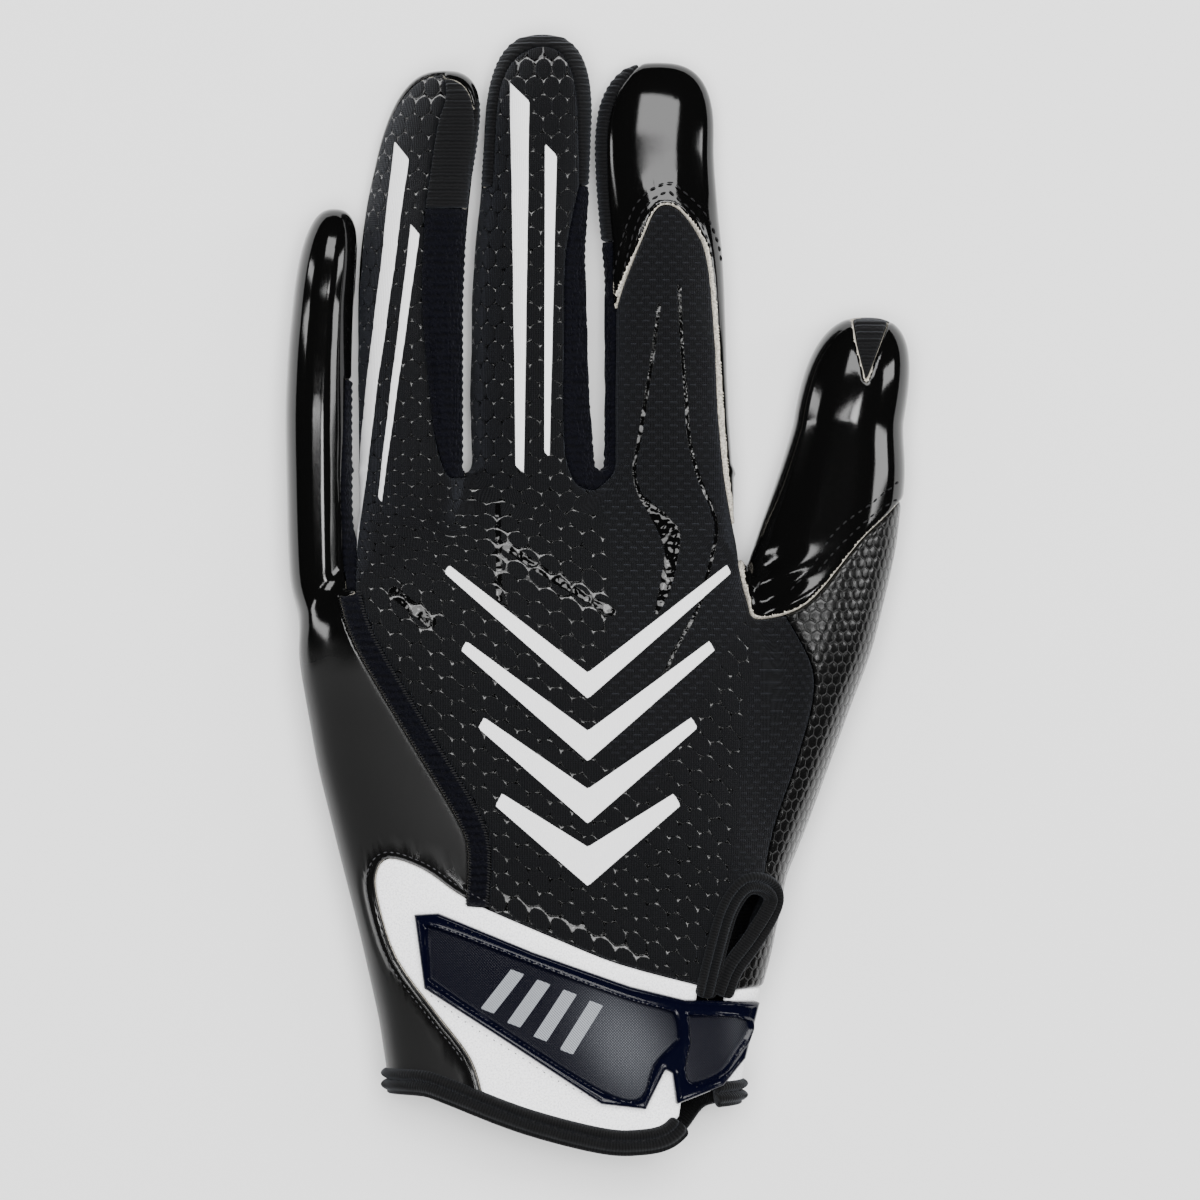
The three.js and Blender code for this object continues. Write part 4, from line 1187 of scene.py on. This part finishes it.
BINDING_STEP = 0.145
mouth_points, mouth_faces = cut_mesh(base_points, base_faces, inside(base_points, above_cuff) - 1.0)
loop = mouth_points[chain(border(mouth_faces))[0]]
loop = smoothed(evenly(np.concatenate([loop, loop[:1]]), 0.5)[:-1], 12, loop=True)
in_slit = (inside(loop, strip(slit_line, 6.6)) > 0) & (loop[:, 2] > seam_height(loop))
first = int(np.nonzero(in_slit & ~np.roll(in_slit, -1))[0][0]) + 1
loop = evenly(np.roll(loop, -first, axis=0)[~np.roll(in_slit, -first)], BINDING_STEP)
loop_normals = unit(form.normals(loop) * (1, 0, 1))
if np.cross(loop_normals, np.gradient(loop, axis=0))[:, 1].sum() < 0:
    loop, loop_normals = loop[::-1], loop_normals[::-1]
sweep("cuff_binding", loop, loop_normals, two_rolls(1.6, -3.3, 1.35, -1.75), 0.58, 0.035, 0.35)
hole_points, hole_normals = on_top(smoothed(evenly(keyhole, BINDING_STEP), 30))
sweep("slit_binding", hole_points, smoothed(hole_normals, 60), two_rolls(2.1, -2.0, 1.35, -1.3), 0.52, 0.035, 0.5)


# The strap: raised rims round two recessed windows, the main one and the one on the tab
WINDOW_DEPTH = 0.75
WINDOWS = [curve(pixels(*shape)) for shape in (
    [(686, 1012), (742, 1018), (727, 1056), (713, 1072), (690, 1080), (683, 1066), (688, 1040)],
    [(430, 927), (440, 926), (533, 961), (624, 995), (663, 1006), (673, 1012), (676, 1034), (668, 1044), (652, 1062),
     (640, 1094), (612, 1092), (560, 1062), (470, 1002), (433, 976)])]
# Slanted bars in silver hatch, where such a strap has its printing
STRAP_MARKS = [pixels((x, y), (x + 13, y + 5), (x - 17, y + h), (x - 30, y + h - 5))
               for x, y, h in ((512, 966, 44), (538, 976, 48), (564, 986, 52), (590, 997, 54))]


def strap_field(points):
    height = points[:, 2] - seam_height(points)
    return np.minimum(np.minimum(inside(points, STRAP), height), -inside(points, keyhole))


def strap_relief(points, normals, distance):
    window = most_inside(points, WINDOWS)
    ridge = np.exp(-((window + 0.35) / 0.32) ** 2) + 0.8 * np.exp(-((distance - 0.55) / 0.35) ** 2)
    return 0.32 * ridge - WINDOW_DEPTH * ramp(window, -0.3, 0.35)


def strap_attributes(points, normals, distance):
    a, b = (points[:, :2] - pixel(625, 1040)).T
    # A soft silver fade in the windows: strongest at one spot of the main window, with a faint line down the tab
    glow = np.exp(-((0.86 * a + 0.5 * b) / 9.0) ** 2 - ((-0.5 * a + 0.86 * b) / 15.0) ** 2)
    glow = 0.8 * glow + 0.3 * np.exp(-((points[:, 0] - pixel(733, 0)[0]) / 3.0) ** 2)
    return {"window": most_inside(points, WINDOWS), "glow": glow, "mark": most_inside(points, STRAP_MARKS)}


panel("closure_strap", "strap", ["closure_strap"], detail=1, lift=2.1, roll=0.5, wall=-0.3,
      relief=strap_relief, extras=strap_attributes, fields=strap_field)


def stitches(name, lines, node, material="thread", pitch=2.1, length=1.35, radius=0.2, lift=0.1, tilt=0.0):
    """Short threads laid along lines in plan, each a little uneven."""
    rings, around, threads = 5, 6, []
    s, q = np.linspace(-1, 1, rings)[:, None, None], np.arange(1, around - 1)
    round_it = (2 * math.pi * np.arange(around) / around)[None, :, None]
    fat = radius * (1 - 0.75 * np.abs(s) ** 3)
    for line in lines:
        path, normals = on_top(evenly(line, 0.2), lift)
        step = np.linalg.norm(np.diff(path, axis=0), axis=1).mean()
        ahead, stride = ahead_of(path), max(int(round(pitch / step)), 2)
        for i in range(stride // 2, len(path) - 1, stride):
            t, n = ahead[i], normals[i]
            side = np.cross(n, t)
            turn = tilt + rng.uniform(-0.14, 0.14)
            t, side = t * math.cos(turn) + side * math.sin(turn), side * math.cos(turn) - t * math.sin(turn)
            middle = path[i] + t * (length / 2 * rng.uniform(0.85, 1.1)) * s - n * (0.35 * s * s * radius * 2)
            threads.append((middle + side * np.cos(round_it) * fat + n * np.sin(round_it) * fat).reshape(-1, 3))
    one = np.concatenate([tube(rings, around), np.stack([0 * q, q + 1, q], 1),
                          np.stack([0 * q, q, q + 1], 1) + (rings - 1) * around])
    faces = np.concatenate([one + k * rings * around for k in range(len(threads))])
    make(name, [node], np.concatenate(threads), faces, [material], angle=80)


def drawn(*points):
    return curve(pixels(*points))


cap_stitches = drawn((614, 276), (620, 252), (627, 226), (637, 204), (652, 189), (670, 183), (682, 191), (698, 206),
                     (710, 224), (718, 247), (720, 262))
stitches("index_cap_stitches", [cap_stitches, beside(cap_stitches, -1.9)], "palm_panel_index", lift=0.5)
stitches("thumb_stitches", [drawn((899, 480), (871, 503), (835, 531), (812, 566), (787, 594)),
                            drawn((898, 498), (873, 514), (838, 547), (816, 573))],
         "thumb_panel", lift=0.5)
stitches("hem_stitches", [beside(hem_seam, 1.5)[4:]], "palm_panel", material="thread_grey", pitch=1.5,
         length=0.9, radius=0.13, lift=0.6)
stitches("tape_stitches", [beside(ulnar_seam, 2.0), beside(ulnar_seam, -2.0)], "ulnar_seam_tape",
         pitch=0.55, length=1.3, radius=0.17, lift=0.35, tilt=1.2)
upper = np.nonzero(loop[:, 2] > seam_height(loop) + 2.0)[0]
cuff_runs = [loop[run][:, :2] - (0, 0.85) for run in np.split(upper, np.nonzero(np.diff(upper) > 1)[0] + 1)]
stitches("cuff_stitches", cuff_runs, "cuff_binding", pitch=1.6, length=1.1, radius=0.15, lift=0.35)
strap_edge = drawn((432, 990), (470, 1020), (520, 1052), (560, 1078), (600, 1097))
stitches("strap_stitches", [strap_edge, drawn((447, 919), (533, 952), (612, 981)), drawn((686, 1046), (683, 1070)),
                            drawn((690, 1085), (722, 1072))], "closure_strap", material="thread_grey",
         pitch=1.9, length=0.45, radius=0.12, lift=2.12)

# Studio
floor_mesh = bpy.data.meshes.new("floor")
floor_mesh.from_pydata([(-3, -3, 0), (3, -3, 0), (3, 3, 0), (-3, 3, 0)], [], [(0, 1, 2, 3)])
floor_mesh.materials.append(Paint("floor", Base_Color=grey(0.86), Roughness=0.9, Specular_IOR_Level=0.1).material)
floor = linked("floor", floor_mesh)


def softbox(name, place, target, size, power, shines=True):
    lamp = bpy.data.lights.new(name, "AREA")
    lamp.shape, lamp.size, lamp.size_y, lamp.energy = "RECTANGLE", size[0], size[1], power
    piece = linked(name, lamp)
    piece.location = place
    piece.rotation_euler = (Vector(target) - Vector(place)).to_track_quat("-Z", "Y").to_euler()
    piece.visible_glossy, piece.visible_camera = shines, False


softbox("fill", (0, 0, 1.9), (0, 0, 0), (1.6, 1.6), 66, shines=False)
softbox("north", (0.1, 0.64, 1.3), (0, 0, 0), (0.8, 0.46), 9)
softbox("west", (-1.1, 0.35, 0.5), (0, 0, 0), (0.12, 0.6), 1.8)
softbox("east", (1.1, 0.2, 0.75), (0, 0, 0), (0.25, 0.6), 4)
softbox("lean", (0.16, 0.03, 0.9), (0, 0, 0), (0.12, 0.12), 0.8)
softbox("strip", (-0.12, 0.1, 1.2), (0, 0.1, 0), (0.035, 0.42), 0.6)
world = bpy.data.worlds.new("studio")
world.use_nodes = True
world.node_tree.nodes["Background"].inputs["Color"].default_value = (1, 1, 1, 1)
world.node_tree.nodes["Background"].inputs["Strength"].default_value = 0.5
bpy.context.scene.world = world
world.cycles_visibility.glossy = False

camera_data = bpy.data.cameras.new("camera")
camera_data.sensor_width, camera_data.lens = 36.0, 221.4
camera = linked("camera", camera_data)
camera.location = (0.00088, -0.00179, 1.6)
bpy.context.scene.camera = camera
